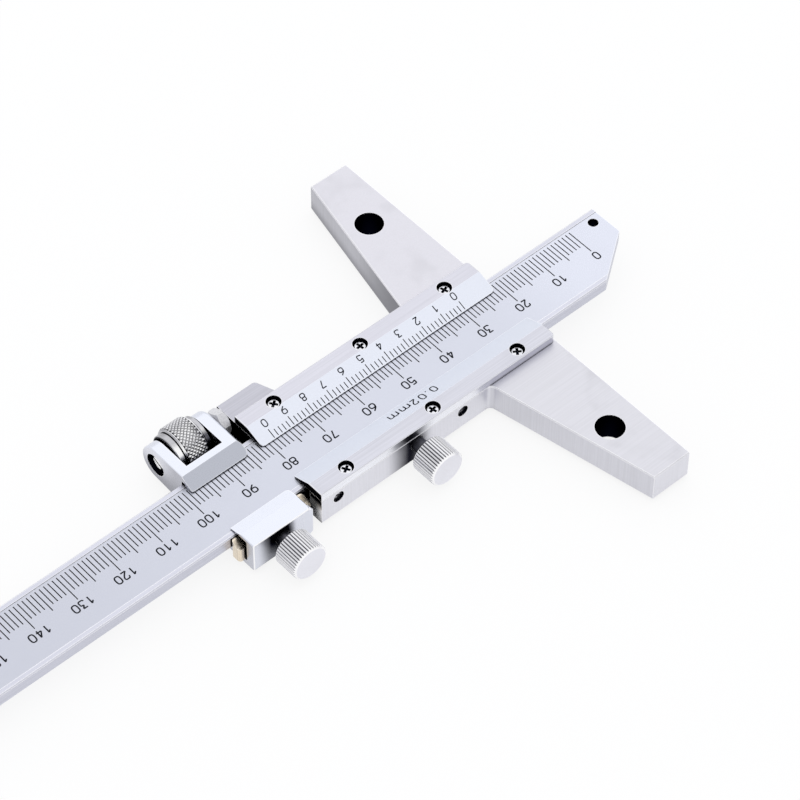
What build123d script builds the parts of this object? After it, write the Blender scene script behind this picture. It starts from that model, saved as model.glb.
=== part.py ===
from build123d import *
import os
from math import cos, pi, sin

os.makedirs("parts", exist_ok=True)

# Vernier depth gauge, 0 to 150 mm by 0.02 mm, with a fine adjustment carriage.
# Millimetres. The origin is the centre of the measuring face of the crosspiece.
# +X runs along the beam towards its tip, out of the measuring face.
# +Y runs across the beam towards the fine adjustment nut, and +Z out of the scale face.

# Reading that the gauge stands at, and the graduations
reading = 29.42
zero_to_tip = 8.0
scale_marks = 150
scale_mark_pitch = 1.0
scale_short_mark = 4.4
scale_middle_mark = 5.5
scale_long_mark = 6.55
scale_mark_to_rail = 0.6
vernier_marks = 50
vernier_mark_pitch = 0.98
vernier_short_mark = 1.5
vernier_long_mark = 2.05
vernier_mark_to_edge = 0.2
mark_width = 0.14
mark_depth = 0.04

# Clearances
slide_gap = 0.05
thread_gap = 0.02
turning_gap = 0.05
tip_gap = 0.05

# Beam
beam_length = 240.0
beam_width = 16.0
beam_thickness = 3.05
rail_width = 1.13
rail_height = 0.1
beam_edge_chamfer = 0.25
tip_slope_length = 11.2
tip_slope_width = 8.0
tip_hole_diameter = 2.2
tip_hole_to_tip = 2.43
tip_hole_to_edge = 2.92
beam_end_corner = 2.0

# Crosspiece
base_length = 100.0
base_thickness = 6.7
base_tip_width = 9.25
base_root_width = 17.2
base_root_fillet = 1.3
base_edge_chamfer = 0.2
base_hole_diameter = 6.0
base_hole_spacing = 70.0
base_hole_to_face = 7.05
base_hole_shift = -0.5

# Slider channel, which is one piece with the crosspiece
slider_length = 60.25
slider_width = 25.5
gib_thickness = 1.2
gib_play = 0.1
gib_top_gap = 0.15
gib_end_wall = 2.0
gib_rear_setback = 2.0

# Lug that carries the adjusting rod, one piece with the slider
lug_length = 11.45
lug_reach = 5.45
lug_front_slope = 2.05
lug_corner_radius = 1.0
lug_edge_radius = 0.2

# Vernier plate and cover plate
plate_thickness = 1.95
plate_front_setback = 0.25
plate_flat_strip = 3.55
vernier_overhang = 3.45
cover_overhang = 3.27
plate_lip_thickness = 0.17
vernier_corner_radius = 0.9
cover_corner_radius = 0.35
plate_front_radius = 0.8
plate_edge_chamfer = 0.12
plate_end_chamfer = 0.1

# Plate screws
plate_screw_to_front = 8.3
plate_screw_to_rear = 7.95
plate_screw_to_side = 2.15
plate_screw_diameter = 1.6
plate_screw_depth = 2.6
screw_head_diameter = 2.45
screw_head_height = 0.65
screw_head_dome = 0.2
screw_pocket_diameter = 3.1
screw_pocket_depth = 1.35
cross_slot_length = 2.0
cross_slot_width = 0.6
cross_slot_depth = 0.5

# Gib set screws
set_screw_diameter = 2.5
set_screw_recess = 0.7
set_screw_to_front = 24.4
set_screw_to_rear = 4.25
set_screw_slot_width = 0.45
set_screw_slot_depth = 0.7

# Height of the rod, the set screws and the thumb screws above the origin
work_height = 1.3

# Thumb screws: the slider lock and the carriage clamp are the same screw
thumb_diameter = 7.95
thumb_length = 6.0
thumb_chamfer = 0.45
thumb_teeth = 40
thumb_tooth_depth = 0.22
thumb_tooth_flat = 0.4
thumb_thread_diameter = 3.0
thumb_tip_chamfer = 0.4
lock_neck = 2.85
lock_to_rear = 24.05
clamp_neck = 2.2

# Adjusting rod and its lock nut
rod_offset = 8.07
rod_diameter = 3.0
rod_grip = 8.0
rod_end_recess = 0.2
rod_end_chamfer = 0.4
rod_slot_width = 0.5
rod_slot_depth = 0.7
lock_nut_across_flats = 5.2
lock_nut_thickness = 2.4
lock_nut_turn = 6.0
lock_nut_face = 4.6
lock_nut_bevel = 0.6

# Knurled adjusting nut
nut_diameter = 10.6
nut_collar_diameter = 9.1
nut_groove_diameter = 8.7
nut_groove_width = 0.2
nut_step_diameter = 9.7
nut_end_chamfer = 0.3
nut_front_collar = 1.2
nut_knurl_length = 5.3
nut_rear_collar = 1.5
nut_front_gap = 0.2
nut_rear_gap = 0.5

# Carriage
carriage_gap = 2.95
carriage_front_wall = 2.9
carriage_rear_wall = 2.4
carriage_boss_radius = 4.0
carriage_bridge = 1.35
carriage_bevel_start = 7.97
carriage_lip_reach = 3.13
carriage_clamp_lip_reach = 1.67
carriage_lip_thickness = 0.15
carriage_lip_gap = 0.1
carriage_relief_width = 1.2
carriage_relief_height = 0.6
carriage_clamp_width = 13.1
carriage_clamp_rise = 1.0
carriage_clamp_flat = 3.7
carriage_corner_radius = 0.7
carriage_clamp_lip_radius = 0.8
carriage_front_lip_radius = 1.1
carriage_rear_lip_radius = 0.55
carriage_edge_radius = 0.3
carriage_foot_radius = 0.9
carriage_cheek_reach = 0.5
carriage_cheek_thickness = 1.2
carriage_cheek_drop = 0.4
carriage_cheek_radius = 0.45
carriage_rear_hole = 5.0
carriage_front_hole = 3.4

# Bronze leaf between the beam and the clamp screw
leaf_thickness = 0.5
leaf_play = 0.3
leaf_top_gap = 0.55
leaf_low_edge = -1.8
leaf_front_reach = 1.95
leaf_rear_reach = 1.4
leaf_front_lug = 3.5
leaf_rear_lug = 2.5
leaf_lug_depth = 0.6
leaf_front_bend = 1.3
leaf_rear_bend = 0.7
leaf_top_slope_drop = 1.05
leaf_top_slope_width = 1.3
leaf_recess_depth = 2.0
leaf_recess_gap = 0.5
leaf_recess_roof = 0.65

# Sizes worked out from those above
base_top = base_thickness / 2
base_bottom = -base_thickness / 2
beam_half = beam_width / 2
beam_top = base_top - slide_gap
beam_bottom = beam_top - beam_thickness
scale_face = beam_top - rail_height
scale_zero = reading - zero_to_tip
beam_rear = reading - beam_length
channel_floor = beam_bottom - slide_gap
channel_side = beam_half + slide_gap
gib_face = beam_half + slide_gap
gib_back = gib_face + gib_thickness
gib_pocket_side = gib_back + gib_play
slider_half = slider_width / 2
plate_screw_last = slider_length - plate_screw_to_rear
plate_screw_middle = (plate_screw_to_front + plate_screw_last) / 2
plate_screw_row = (plate_screw_to_front, plate_screw_middle, plate_screw_last)
set_screw_places = (set_screw_to_front, slider_length - set_screw_to_rear)
lock_place = slider_length - lock_to_rear
plate_top = base_top + plate_thickness
plate_seam = slider_half - plate_flat_strip
screw_row = slider_half - plate_screw_to_side
rod_y = beam_half + rod_offset
rod_z = work_height
lug_side = slider_half + lug_reach
carriage_front = -slider_length - carriage_gap
nut_length = nut_front_collar + nut_knurl_length + nut_rear_collar
window_length = nut_front_gap + nut_length + nut_rear_gap
window_front = carriage_front - carriage_front_wall
window_rear = window_front - window_length
carriage_rear = window_rear - carriage_rear_wall
carriage_middle = (carriage_front + carriage_rear) / 2
carriage_top = rod_z + carriage_boss_radius
carriage_bottom = rod_z - carriage_boss_radius
carriage_foot = base_bottom
clamp_top = base_top + carriage_clamp_rise
leaf_face = beam_half + slide_gap
leaf_back = leaf_face + leaf_thickness
leaf_pocket_side = leaf_back + leaf_play
leaf_high_edge = beam_top - leaf_top_gap
leaf_strip_low = beam_bottom + slide_gap
reach = 2 * (base_length + beam_length)

# How far a cut runs past the surface that it opens, and how near a place has to match
spare = 1.0
near = 0.01


def block(x_low, x_high, y_low, y_high, z_low, z_high):
    """A box between two corners."""
    size = (x_high - x_low, y_high - y_low, z_high - z_low)
    middle = ((x_low + x_high) / 2, (y_low + y_high) / 2, (z_low + z_high) / 2)
    return Pos(*middle) * Box(*size)


def bar_along_x(outline, x_low, x_high):
    """A prism along X whose section is a list of (y, z) corners."""
    face = Plane.YZ.offset(x_low) * Polygon(*outline, align=None)
    return extrude(face, amount=x_high - x_low, dir=(1, 0, 0))


def slab(outline, z_low, z_high):
    """A plate whose plan is a list of (x, y) corners."""
    face = Plane.XY.offset(z_low) * Polygon(*outline, align=None)
    return extrude(face, amount=z_high - z_low, dir=(0, 0, 1))


def pin_along_x(x_low, x_high, y, z, radius):
    length = x_high - x_low
    return Pos((x_low + x_high) / 2, y, z) * Rot(0, 90, 0) * Cylinder(radius, length)


def pin_along_y(x, y_low, y_high, z, radius):
    length = y_high - y_low
    return Pos(x, (y_low + y_high) / 2, z) * Rot(90, 0, 0) * Cylinder(radius, length)


def pin_along_z(x, y, z_low, z_high, radius):
    return Pos(x, y, (z_low + z_high) / 2) * Cylinder(radius, z_high - z_low)


def turned(profile):
    """A turned piece about Z from a list of (radius, height) corners."""
    return revolve(Plane.XZ * Polygon(*profile, align=None), Axis.Z)


def edges_where(shape, axis, test):
    """Straight edges along an axis whose middle passes a test."""
    return [edge for edge in shape.edges().filter_by(axis) if test(edge.center())]


def scale_mark_length(count):
    """Every tenth mark is long and every fifth is of middle length."""
    if count % 10 == 0:
        return scale_long_mark
    if count % 5 == 0:
        return scale_middle_mark
    return scale_short_mark


def scale_grooves():
    """Graduation grooves in the scale face, counted from zero away from the tip."""
    foot = beam_half - rail_width - scale_mark_to_rail
    grooves = []
    for count in range(scale_marks + 1):
        x = scale_zero - count * scale_mark_pitch
        end = foot - scale_mark_length(count)
        left = x - mark_width / 2
        right = x + mark_width / 2
        grooves.append(block(left, right, end, foot, scale_face - mark_depth, beam_top))
    return grooves


def beam():
    """Graduated beam: sunk scale face between two rails, half of its tip sloped away."""
    corner = beam_end_corner
    outline = [
        (reading, beam_half),
        (reading, -beam_half + tip_slope_width),
        (reading - tip_slope_length, -beam_half),
        (beam_rear + corner, -beam_half),
        (beam_rear, -beam_half + corner),
        (beam_rear, beam_half - corner),
        (beam_rear + corner, beam_half),
    ]
    body = slab(outline, beam_bottom, beam_top)
    long_edges = body.edges().filter_by(Axis.X)
    body = chamfer(long_edges, beam_edge_chamfer)
    rail = beam_half - rail_width
    body = body - block(beam_rear - spare, reading + spare, -rail, rail, scale_face, beam_top + spare)
    hole_x = reading - tip_hole_to_tip
    hole_y = beam_half - tip_hole_to_edge
    radius = tip_hole_diameter / 2
    body = body - pin_along_z(hole_x, hole_y, beam_bottom - spare, beam_top + spare, radius)
    return body - scale_grooves()


def base_outline():
    """Plan of the crosspiece, straight along the measuring face and tapered behind."""
    tip = base_length / 2
    return [
        (0, -tip),
        (0, tip),
        (-base_tip_width, tip),
        (-base_root_width, slider_half),
        (-base_root_width, -slider_half),
        (-base_tip_width, -tip),
    ]


def is_root_corner(middle):
    """True where an arm of the crosspiece meets the side of the slider."""
    at_wall = abs(abs(middle.Y) - slider_half) < near
    return at_wall and abs(middle.X + base_root_width) < near


def lug():
    """Square shouldered lug on the slider that the adjusting rod is screwed into."""
    rear = -slider_length
    front = rear + lug_length
    inside = slider_half - spare
    outline = [
        (rear, inside),
        (rear, lug_side),
        (front - lug_front_slope, lug_side),
        (front, slider_half),
        (front, inside),
    ]
    shape = slab(outline, base_bottom, base_top)
    front_corner = edges_where(
        shape, Axis.Z, lambda middle: middle.Y > lug_side - near and middle.X > rear + near
    )
    shape = fillet(front_corner, lug_corner_radius)
    ridges = edges_where(shape, Axis.X, lambda middle: middle.Y > lug_side - near)
    return fillet(ridges, lug_edge_radius)


def crosspiece():
    """Crosspiece and slider block before the channel is cut."""
    arms = slab(base_outline(), base_bottom, base_top)
    spine = block(-slider_length, 0, -slider_half, slider_half, base_bottom, base_top)
    shape = arms + spine
    shape = fillet(edges_where(shape, Axis.Z, is_root_corner), base_root_fillet)
    rims = shape.faces().filter_by(Axis.Z).edges()
    past_fillet = slider_half + base_root_fillet
    arm_rims = [edge for edge in rims if abs(edge.center().Y) > past_fillet]
    return chamfer(arm_rims, base_edge_chamfer)


def screw_places(side):
    """Places of the three screws of the plate on one side, +1 or -1."""
    return [(-place, side * screw_row) for place in plate_screw_row]


def slider_base():
    """Crosspiece, slider channel and rod lug, machined as one piece."""
    body = crosspiece() + lug()
    channel = block(-reach, reach, -channel_side, channel_side, channel_floor, base_top + spare)
    gib_pocket = block(
        -reach, -gib_end_wall, -gib_pocket_side, 0, channel_floor, base_top + spare
    )
    body = body - channel - gib_pocket
    for side in (-1, 1):
        y = side * base_hole_spacing / 2 + base_hole_shift
        radius = base_hole_diameter / 2
        hole = pin_along_z(-base_hole_to_face, y, base_bottom - spare, base_top + spare, radius)
        body = body - hole
        for x, row in screw_places(side):
            depth = plate_screw_depth + thread_gap
            radius = plate_screw_diameter / 2 + thread_gap
            body = body - pin_along_z(x, row, base_top - depth, base_top + spare, radius)
    for place in set_screw_places:
        radius = set_screw_diameter / 2 + thread_gap
        body = body - pin_along_y(-place, -slider_half - spare, -gib_face, work_height, radius)
    radius = thumb_thread_diameter / 2 + turning_gap
    body = body - pin_along_y(-lock_place, -slider_half - spare, -gib_face, work_height, radius)
    radius = rod_diameter / 2 + thread_gap
    rod_stop = -slider_length + rod_grip + thread_gap
    return body - pin_along_x(-slider_length - spare, rod_stop, rod_y, rod_z, radius)


def plate(side, overhang, lip_radius):
    """Plate over one rail of the beam, bevelled down to a thin lip on the inner side."""
    front = -plate_front_setback
    rear = -slider_length
    lip = beam_half - overhang
    section = [
        (side * lip, base_top),
        (side * slider_half, base_top),
        (side * slider_half, plate_top),
        (side * plate_seam, plate_top),
        (side * lip, base_top + plate_lip_thickness),
    ]
    shape = bar_along_x(section, rear, front)
    lip_corners = edges_where(shape, Axis.Z, lambda middle: abs(middle.Y) < lip + near)
    shape = fillet(lip_corners, lip_radius)
    outer = slider_half - near
    front_corner = edges_where(
        shape, Axis.Z, lambda middle: abs(middle.Y) > outer and middle.X > front - near
    )
    shape = fillet(front_corner, plate_front_radius)
    side_edge = edges_where(
        shape, Axis.X, lambda middle: abs(middle.Y) > outer and middle.Z > plate_top - near
    )
    shape = chamfer(side_edge, plate_edge_chamfer)
    flat_rim = shape.faces().filter_by(Axis.Z).sort_by(Axis.Z)[-1].edges()
    end_edges = [edge for edge in flat_rim.filter_by(Axis.Y)]
    shape = chamfer(end_edges, plate_end_chamfer)
    for x, row in screw_places(side):
        pocket = screw_pocket_diameter / 2
        floor = plate_top - screw_pocket_depth
        shape = shape - pin_along_z(x, row, floor, plate_top + spare, pocket)
        shank = plate_screw_diameter / 2 + turning_gap
        shape = shape - pin_along_z(x, row, base_top - spare, plate_top, shank)
    return shape


def vernier_grooves():
    """Graduation grooves in the bevel of the vernier plate."""
    lip = beam_half - vernier_overhang
    rise = plate_top - base_top - plate_lip_thickness
    run = plate_seam - lip
    slope = (rise**2 + run**2) ** 0.5
    edge_z = base_top + plate_lip_thickness
    grooves = []
    for count in range(vernier_marks + 1):
        x = -zero_to_tip - count * vernier_mark_pitch
        length = vernier_long_mark if count % 5 == 0 else vernier_short_mark
        middle = vernier_mark_to_edge + length / 2
        y = lip + middle * run / slope
        z = edge_z + middle * rise / slope
        along = Plane(origin=(x, y, z), x_dir=(1, 0, 0), z_dir=(0, -rise, run))
        grooves.append(along * Box(mark_width, length, 2 * mark_depth))
    return grooves


def vernier_plate():
    return plate(1, vernier_overhang, vernier_corner_radius) - vernier_grooves()


def cover_plate():
    return plate(-1, cover_overhang, cover_corner_radius)


def plate_screw(x, y):
    """Small domed screw with a cross slot, its head down in the pocket of the plate."""
    seat = plate_top - screw_pocket_depth
    top = seat + screw_head_height
    head = screw_head_diameter / 2
    shank = plate_screw_diameter / 2
    tip = base_top - plate_screw_depth
    profile = [
        (0, tip),
        (shank - 0.2, tip),
        (shank, tip + 0.2),
        (shank, seat),
        (head, seat),
        (head, top - screw_head_dome),
        (head - screw_head_dome, top),
        (0, top),
    ]
    body = turned(profile)
    half = cross_slot_length / 2
    width = cross_slot_width / 2
    low = top - cross_slot_depth
    body = body - block(-half, half, -width, width, low, top + spare)
    body = body - block(-width, width, -half, half, low, top + spare)
    return Pos(x, y, 0) * body


def gib():
    """Bronze strip that takes up the play along one edge of the beam."""
    front = -gib_end_wall - gib_play
    top = base_top - gib_top_gap
    rear = -slider_length + gib_rear_setback
    return block(rear, front, -gib_back, -gib_face, channel_floor, top)


def set_screw(place):
    """Slotted screw without a head, which bears on the gib."""
    outer = -slider_half + set_screw_recess
    body = pin_along_y(-place, outer, -gib_back, work_height, set_screw_diameter / 2)
    half = set_screw_slot_width / 2
    low = work_height - set_screw_diameter
    high = work_height + set_screw_diameter
    slot = block(
        -place - half, -place + half, outer - spare, outer + set_screw_slot_depth, low, high
    )
    return body - slot


def toothed_disc(diameter, length, teeth, depth):
    """A straight knurled drum about Z, with a V groove between flat topped teeth."""
    outer = diameter / 2
    flat = thumb_tooth_flat / 2
    corners = []
    for count in range(teeth):
        for step, radius in ((-flat, outer), (flat, outer), (0.5, outer - depth)):
            angle = 2 * pi * (count + step) / teeth
            corners.append((radius * cos(angle), radius * sin(angle)))
    return extrude(Polygon(*corners, align=None), amount=length, dir=(0, 0, 1))


def thumb_screw(x, tip_y, seat_y, neck):
    """Knurled thumb screw along Y: tip_y is its point and seat_y the wall that it passes."""
    shank_length = tip_y - seat_y + neck
    thread = thumb_thread_diameter / 2
    tip = thumb_tip_chamfer
    shank = turned(
        [
            (0, 0),
            (thread - tip, 0),
            (thread, tip),
            (thread, shank_length),
            (0, shank_length),
        ]
    )
    radius = thumb_diameter / 2
    cut = thumb_chamfer
    low = shank_length
    high = shank_length + thumb_length
    blank = turned(
        [
            (0, low),
            (radius - cut, low),
            (radius, low + cut),
            (radius, high - cut),
            (radius - cut, high),
            (0, high),
        ]
    )
    teeth = Pos(0, 0, low) * toothed_disc(
        thumb_diameter, thumb_length, thumb_teeth, thumb_tooth_depth
    )
    screw = shank + (blank & teeth)
    return Pos(x, tip_y, work_height) * Rot(90, 0, 0) * screw


def slider_lock_screw():
    return thumb_screw(-lock_place, -gib_back - tip_gap, -slider_half, lock_neck)


def carriage_clamp_screw():
    return thumb_screw(carriage_middle, -leaf_back - tip_gap, -carriage_clamp_width, clamp_neck)


def adjusting_rod():
    """Threaded rod held in the lug, with a screwdriver slot in its free end."""
    front = -slider_length + rod_grip
    rear = carriage_rear + rod_end_recess
    radius = rod_diameter / 2
    cut = rod_end_chamfer
    length = front - rear
    body = turned(
        [
            (0, 0),
            (radius - cut, 0),
            (radius, cut),
            (radius, length - cut),
            (radius - cut, length),
            (0, length),
        ]
    )
    half = rod_slot_width / 2
    body = body - block(-half, half, -radius, radius, -spare, rod_slot_depth)
    return Pos(rear, rod_y, rod_z) * Rot(0, 90, 0) * body


def rod_lock_nut():
    """Hexagon nut that locks the rod against the lug."""
    corner = lock_nut_across_flats / 2 / cos(pi / 6)
    body = extrude(RegularPolygon(corner, 6), amount=lock_nut_thickness)
    face = lock_nut_face / 2
    bevelled = turned(
        [
            (0, 0),
            (face, 0),
            (corner, lock_nut_bevel),
            (corner, lock_nut_thickness - lock_nut_bevel),
            (face, lock_nut_thickness),
            (0, lock_nut_thickness),
        ]
    )
    body = body & bevelled
    body = body - Cylinder(rod_diameter / 2 + thread_gap, 4 * lock_nut_thickness)
    rear = -slider_length - lock_nut_thickness
    return Pos(rear, rod_y, rod_z) * Rot(lock_nut_turn, 0, 0) * Rot(0, 90, 0) * body


def adjusting_nut():
    """Fine adjustment nut: a knurled drum between two plain collars, with a groove at each."""
    radius = nut_diameter / 2
    collar = nut_collar_diameter / 2
    groove = nut_groove_diameter / 2
    step = nut_step_diameter / 2
    cut = nut_end_chamfer
    knurl_low = nut_rear_collar
    knurl_high = nut_rear_collar + nut_knurl_length
    bevel = radius - step
    body = turned(
        [
            (0, 0),
            (collar - cut, 0),
            (collar, cut),
            (collar, knurl_low - nut_groove_width),
            (groove, knurl_low - nut_groove_width),
            (groove, knurl_low),
            (step, knurl_low),
            (radius, knurl_low + bevel),
            (radius, knurl_high - bevel),
            (step, knurl_high),
            (groove, knurl_high),
            (groove, knurl_high + nut_groove_width),
            (collar, knurl_high + nut_groove_width),
            (collar, nut_length - cut),
            (collar - cut, nut_length),
            (0, nut_length),
        ]
    )
    body = body - Cylinder(rod_diameter / 2 + turning_gap, 4 * nut_length)
    rear = window_rear + nut_rear_gap
    return Pos(rear, rod_y, rod_z) * Rot(0, 90, 0) * body


def carriage_section():
    """Section of the carriage across the beam, with the round end about the rod."""
    lip_low = beam_top + carriage_lip_gap
    lip_high = lip_low + carriage_lip_thickness
    lip = beam_half - carriage_lip_reach
    clamp_seam = -carriage_clamp_width + carriage_clamp_flat
    clamp_lip = -beam_half + carriage_clamp_lip_reach
    outline = [
        (rod_y, carriage_top),
        (carriage_bevel_start, carriage_top),
        (lip, lip_high),
        (lip, lip_low),
        (channel_side, lip_low),
        (channel_side, channel_floor),
        (-leaf_face, channel_floor),
        (-leaf_face, lip_low),
        (clamp_lip, lip_low),
        (clamp_lip, lip_high),
        (clamp_seam, clamp_top),
        (-carriage_clamp_width, clamp_top),
        (-carriage_clamp_width, carriage_foot),
        (channel_side, carriage_foot),
        (rod_y, carriage_bottom),
    ]
    straight = Polyline(*outline)
    round_end = ThreePointArc(
        (rod_y, carriage_bottom),
        (rod_y + carriage_boss_radius, rod_z),
        (rod_y, carriage_top),
    )
    return make_face(Curve() + [straight, round_end])


def upper_lip_corner(body, end):
    """Short upright edge at one end of the lip on the side of the adjusting nut."""
    lip = beam_half - carriage_lip_reach

    def at_corner(middle):
        return abs(middle.Y - lip) < near and abs(middle.X - end) < near

    return edges_where(body, Axis.Z, at_corner)


def cheek():
    """Rounded cheek that stands out of the front end of the clamp block, beside the leaf."""
    front = carriage_front + carriage_cheek_reach
    rear = carriage_front - carriage_foot_radius
    inner = -carriage_clamp_width + carriage_cheek_thickness
    outer = -carriage_clamp_width
    high = clamp_top - carriage_cheek_drop
    body = block(rear, front, outer, inner, carriage_foot, high)
    high_edge = edges_where(
        body, Axis.Y, lambda middle: middle.X > front - near and middle.Z > high - near
    )
    body = fillet(high_edge, carriage_cheek_radius)
    low_edge = edges_where(
        body, Axis.Y, lambda middle: middle.X > front - near and middle.Z < carriage_foot + near
    )
    return fillet(low_edge, carriage_foot_radius)


def leaf_recesses():
    """Hollows in both end faces of the clamp block, which the lugs of the leaf reach into."""
    low = leaf_low_edge - slide_gap
    high = clamp_top - leaf_recess_roof
    inner = -leaf_face + slide_gap
    front_side = -leaf_face - leaf_front_lug - leaf_recess_gap
    rear_side = -leaf_face - leaf_rear_lug - leaf_recess_gap
    front_end = carriage_front - leaf_recess_depth
    rear_end = carriage_rear + leaf_recess_depth
    front = block(front_end, carriage_front + spare, front_side, inner, low, high)
    rear = block(carriage_rear - spare, rear_end, rear_side, inner, low, high)
    return front + rear


def carriage():
    """Fine adjustment carriage: one piece that wraps the beam from below."""
    length = carriage_front - carriage_rear
    face = Plane.YZ.offset(carriage_rear) * carriage_section()
    body = extrude(face, amount=length, dir=(1, 0, 0))
    foot_edge = edges_where(
        body,
        Axis.Y,
        lambda middle: middle.X > carriage_front - near and middle.Z < carriage_foot + near,
    )
    body = fillet(foot_edge, carriage_foot_radius)
    low_corner = edges_where(
        body, Axis.X, lambda middle: middle.Y < -carriage_clamp_width + near and middle.Z < 0
    )
    body = fillet(low_corner, carriage_corner_radius)
    clamp_lip = -beam_half + carriage_clamp_lip_reach
    lip_corner = edges_where(
        body,
        Axis.Z,
        lambda middle: abs(middle.Y - clamp_lip) < near and middle.X > carriage_front - near,
    )
    body = fillet(lip_corner, carriage_clamp_lip_radius)
    lip_ends = (
        (carriage_front, carriage_front_lip_radius),
        (carriage_rear, carriage_rear_lip_radius),
    )
    for end, radius in lip_ends:
        body = fillet(upper_lip_corner(body, end), radius)
    clamp_face = -carriage_clamp_width + near
    side_edges = edges_where(body, Axis.Z, lambda middle: middle.Y < clamp_face)
    body = fillet(side_edges, carriage_edge_radius)
    top_edge = edges_where(
        body, Axis.X, lambda middle: middle.Y < clamp_face and middle.Z > clamp_top - near
    )
    body = fillet(top_edge, carriage_edge_radius)
    body = body + cheek()
    window_side = channel_side + carriage_bridge
    body = body - block(window_rear, window_front, window_side, reach, -reach, reach)
    relief_low = beam_top
    relief_high = beam_top + carriage_lip_gap + carriage_relief_height
    relief_side = channel_side - carriage_relief_width
    body = body - block(-reach, reach, relief_side, channel_side, relief_low, relief_high)
    low = leaf_strip_low - slide_gap
    high = leaf_high_edge + slide_gap
    body = body - block(-reach, reach, -leaf_pocket_side, -leaf_face, low, high)
    body = body - leaf_recesses()
    rear_hole = pin_along_x(
        carriage_rear - spare, window_rear + spare, rod_y, rod_z, carriage_rear_hole / 2
    )
    front_hole = pin_along_x(
        window_front - spare, carriage_front + spare, rod_y, rod_z, carriage_front_hole / 2
    )
    thread = thumb_thread_diameter / 2 + turning_gap
    clamp_hole = pin_along_y(
        carriage_middle, -carriage_clamp_width - spare, -leaf_face, work_height, thread
    )
    return body - rear_hole - front_hole - clamp_hole


def leaf_lug(x_low, x_high, width, bend, outer_end):
    """Solid end of the leaf, with its two upright corners at the outer end rounded."""
    lug = block(x_low, x_high, -leaf_face - width, -leaf_face, leaf_low_edge, leaf_high_edge)
    corners = edges_where(lug, Axis.Z, lambda middle: abs(middle.X - outer_end) < near)
    return fillet(corners, bend)


def carriage_leaf():
    """Bronze leaf that the clamp screw presses on the beam, with a lug at either end."""
    high = leaf_high_edge
    front = carriage_front + leaf_front_reach
    rear = carriage_rear - leaf_rear_reach
    front_inside = carriage_front - leaf_lug_depth
    rear_inside = carriage_rear + leaf_lug_depth
    front_lug = leaf_lug(front_inside, front, leaf_front_lug, leaf_front_bend, front)
    rear_lug = leaf_lug(rear, rear_inside, leaf_rear_lug, leaf_rear_bend, rear)
    strip = block(rear_inside, front_inside, -leaf_back, -leaf_face, leaf_strip_low, high)
    slope = [
        (-leaf_back, high),
        (-leaf_back - leaf_top_slope_width, high - leaf_top_slope_drop),
        (-reach, high - leaf_top_slope_drop),
        (-reach, reach),
        (-leaf_back, reach),
    ]
    return strip + front_lug + rear_lug - bar_along_x(slope, -reach, reach)


def nodes():
    """Every separate piece under its name."""
    pieces = {
        "beam": beam(),
        "slider_base": slider_base(),
        "vernier_plate": vernier_plate(),
        "cover_plate": cover_plate(),
        "gib": gib(),
        "slider_lock_screw": slider_lock_screw(),
        "adjusting_rod": adjusting_rod(),
        "rod_lock_nut": rod_lock_nut(),
        "adjusting_nut": adjusting_nut(),
        "carriage": carriage(),
        "carriage_leaf": carriage_leaf(),
        "carriage_clamp_screw": carriage_clamp_screw(),
    }
    ends = ("front", "middle", "rear")
    for plate_name, side in (("vernier", 1), ("cover", -1)):
        for end, (x, y) in zip(ends, screw_places(side)):
            pieces[f"{plate_name}_screw_{end}"] = plate_screw(x, y)
    for end, place in zip(("front", "rear"), set_screw_places):
        pieces[f"gib_screw_{end}"] = set_screw(place)
    return pieces


for name, piece in nodes().items():
    export_step(piece, f"parts/{name}.step")
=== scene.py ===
"""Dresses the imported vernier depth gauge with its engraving, knurls, screws and metal finishes.

Lengths in the classes are millimetres in the frame of the CAD model: +X runs along the beam to
its tip, +Y across it towards the fine adjustment nut, and +Z out of the scale face.
"""

import logging
from collections.abc import Callable, Iterable
from dataclasses import dataclass, field, replace
from enum import Enum
from math import atan2, hypot, pi

import bmesh
import bpy
from mathutils import Matrix, Vector


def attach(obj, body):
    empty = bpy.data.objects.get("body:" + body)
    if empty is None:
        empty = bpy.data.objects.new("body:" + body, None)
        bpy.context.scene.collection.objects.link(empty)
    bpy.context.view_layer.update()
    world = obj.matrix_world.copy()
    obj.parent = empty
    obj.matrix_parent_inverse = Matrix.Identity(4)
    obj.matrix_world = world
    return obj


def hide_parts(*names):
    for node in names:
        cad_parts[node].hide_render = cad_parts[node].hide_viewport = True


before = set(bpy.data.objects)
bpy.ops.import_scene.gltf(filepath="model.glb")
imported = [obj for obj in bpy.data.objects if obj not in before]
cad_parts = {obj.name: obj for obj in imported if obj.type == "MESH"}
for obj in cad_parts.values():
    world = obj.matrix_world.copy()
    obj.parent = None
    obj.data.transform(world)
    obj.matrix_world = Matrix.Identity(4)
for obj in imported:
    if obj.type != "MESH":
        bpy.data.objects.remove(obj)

Colour = tuple[float, float, float]
Point = tuple[float, float, float]
Test = Callable[[Vector], bool]
Socket = bpy.types.NodeSocket

MM = 0.001
TURN = 2 * pi
QUARTER_TURN = pi / 2
PICTURE_WIDTH = 800
SENSOR_WIDTH = 36.0
WELD = 1e-6
BORE_RIM = (0.03, 0.01)
WORK_HEIGHT = 1.3
LOCK_AXIS: Point = (-36.2, 0.0, WORK_HEIGHT)
CLAMP_AXIS: Point = (-70.2, 0.0, WORK_HEIGHT)

log = logging.getLogger("depth_gauge")


class Grain(Enum):
    """Way that the marks of grinding or brushing run, as noise steps per millimetre."""

    ALONG_X = (0.035, 2.6, 2.6)
    ALONG_Y = (2.6, 0.035, 2.6)
    ALONG_Z = (2.2, 2.2, 0.05)
    EVEN = (3.2, 3.2, 3.2)


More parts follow.
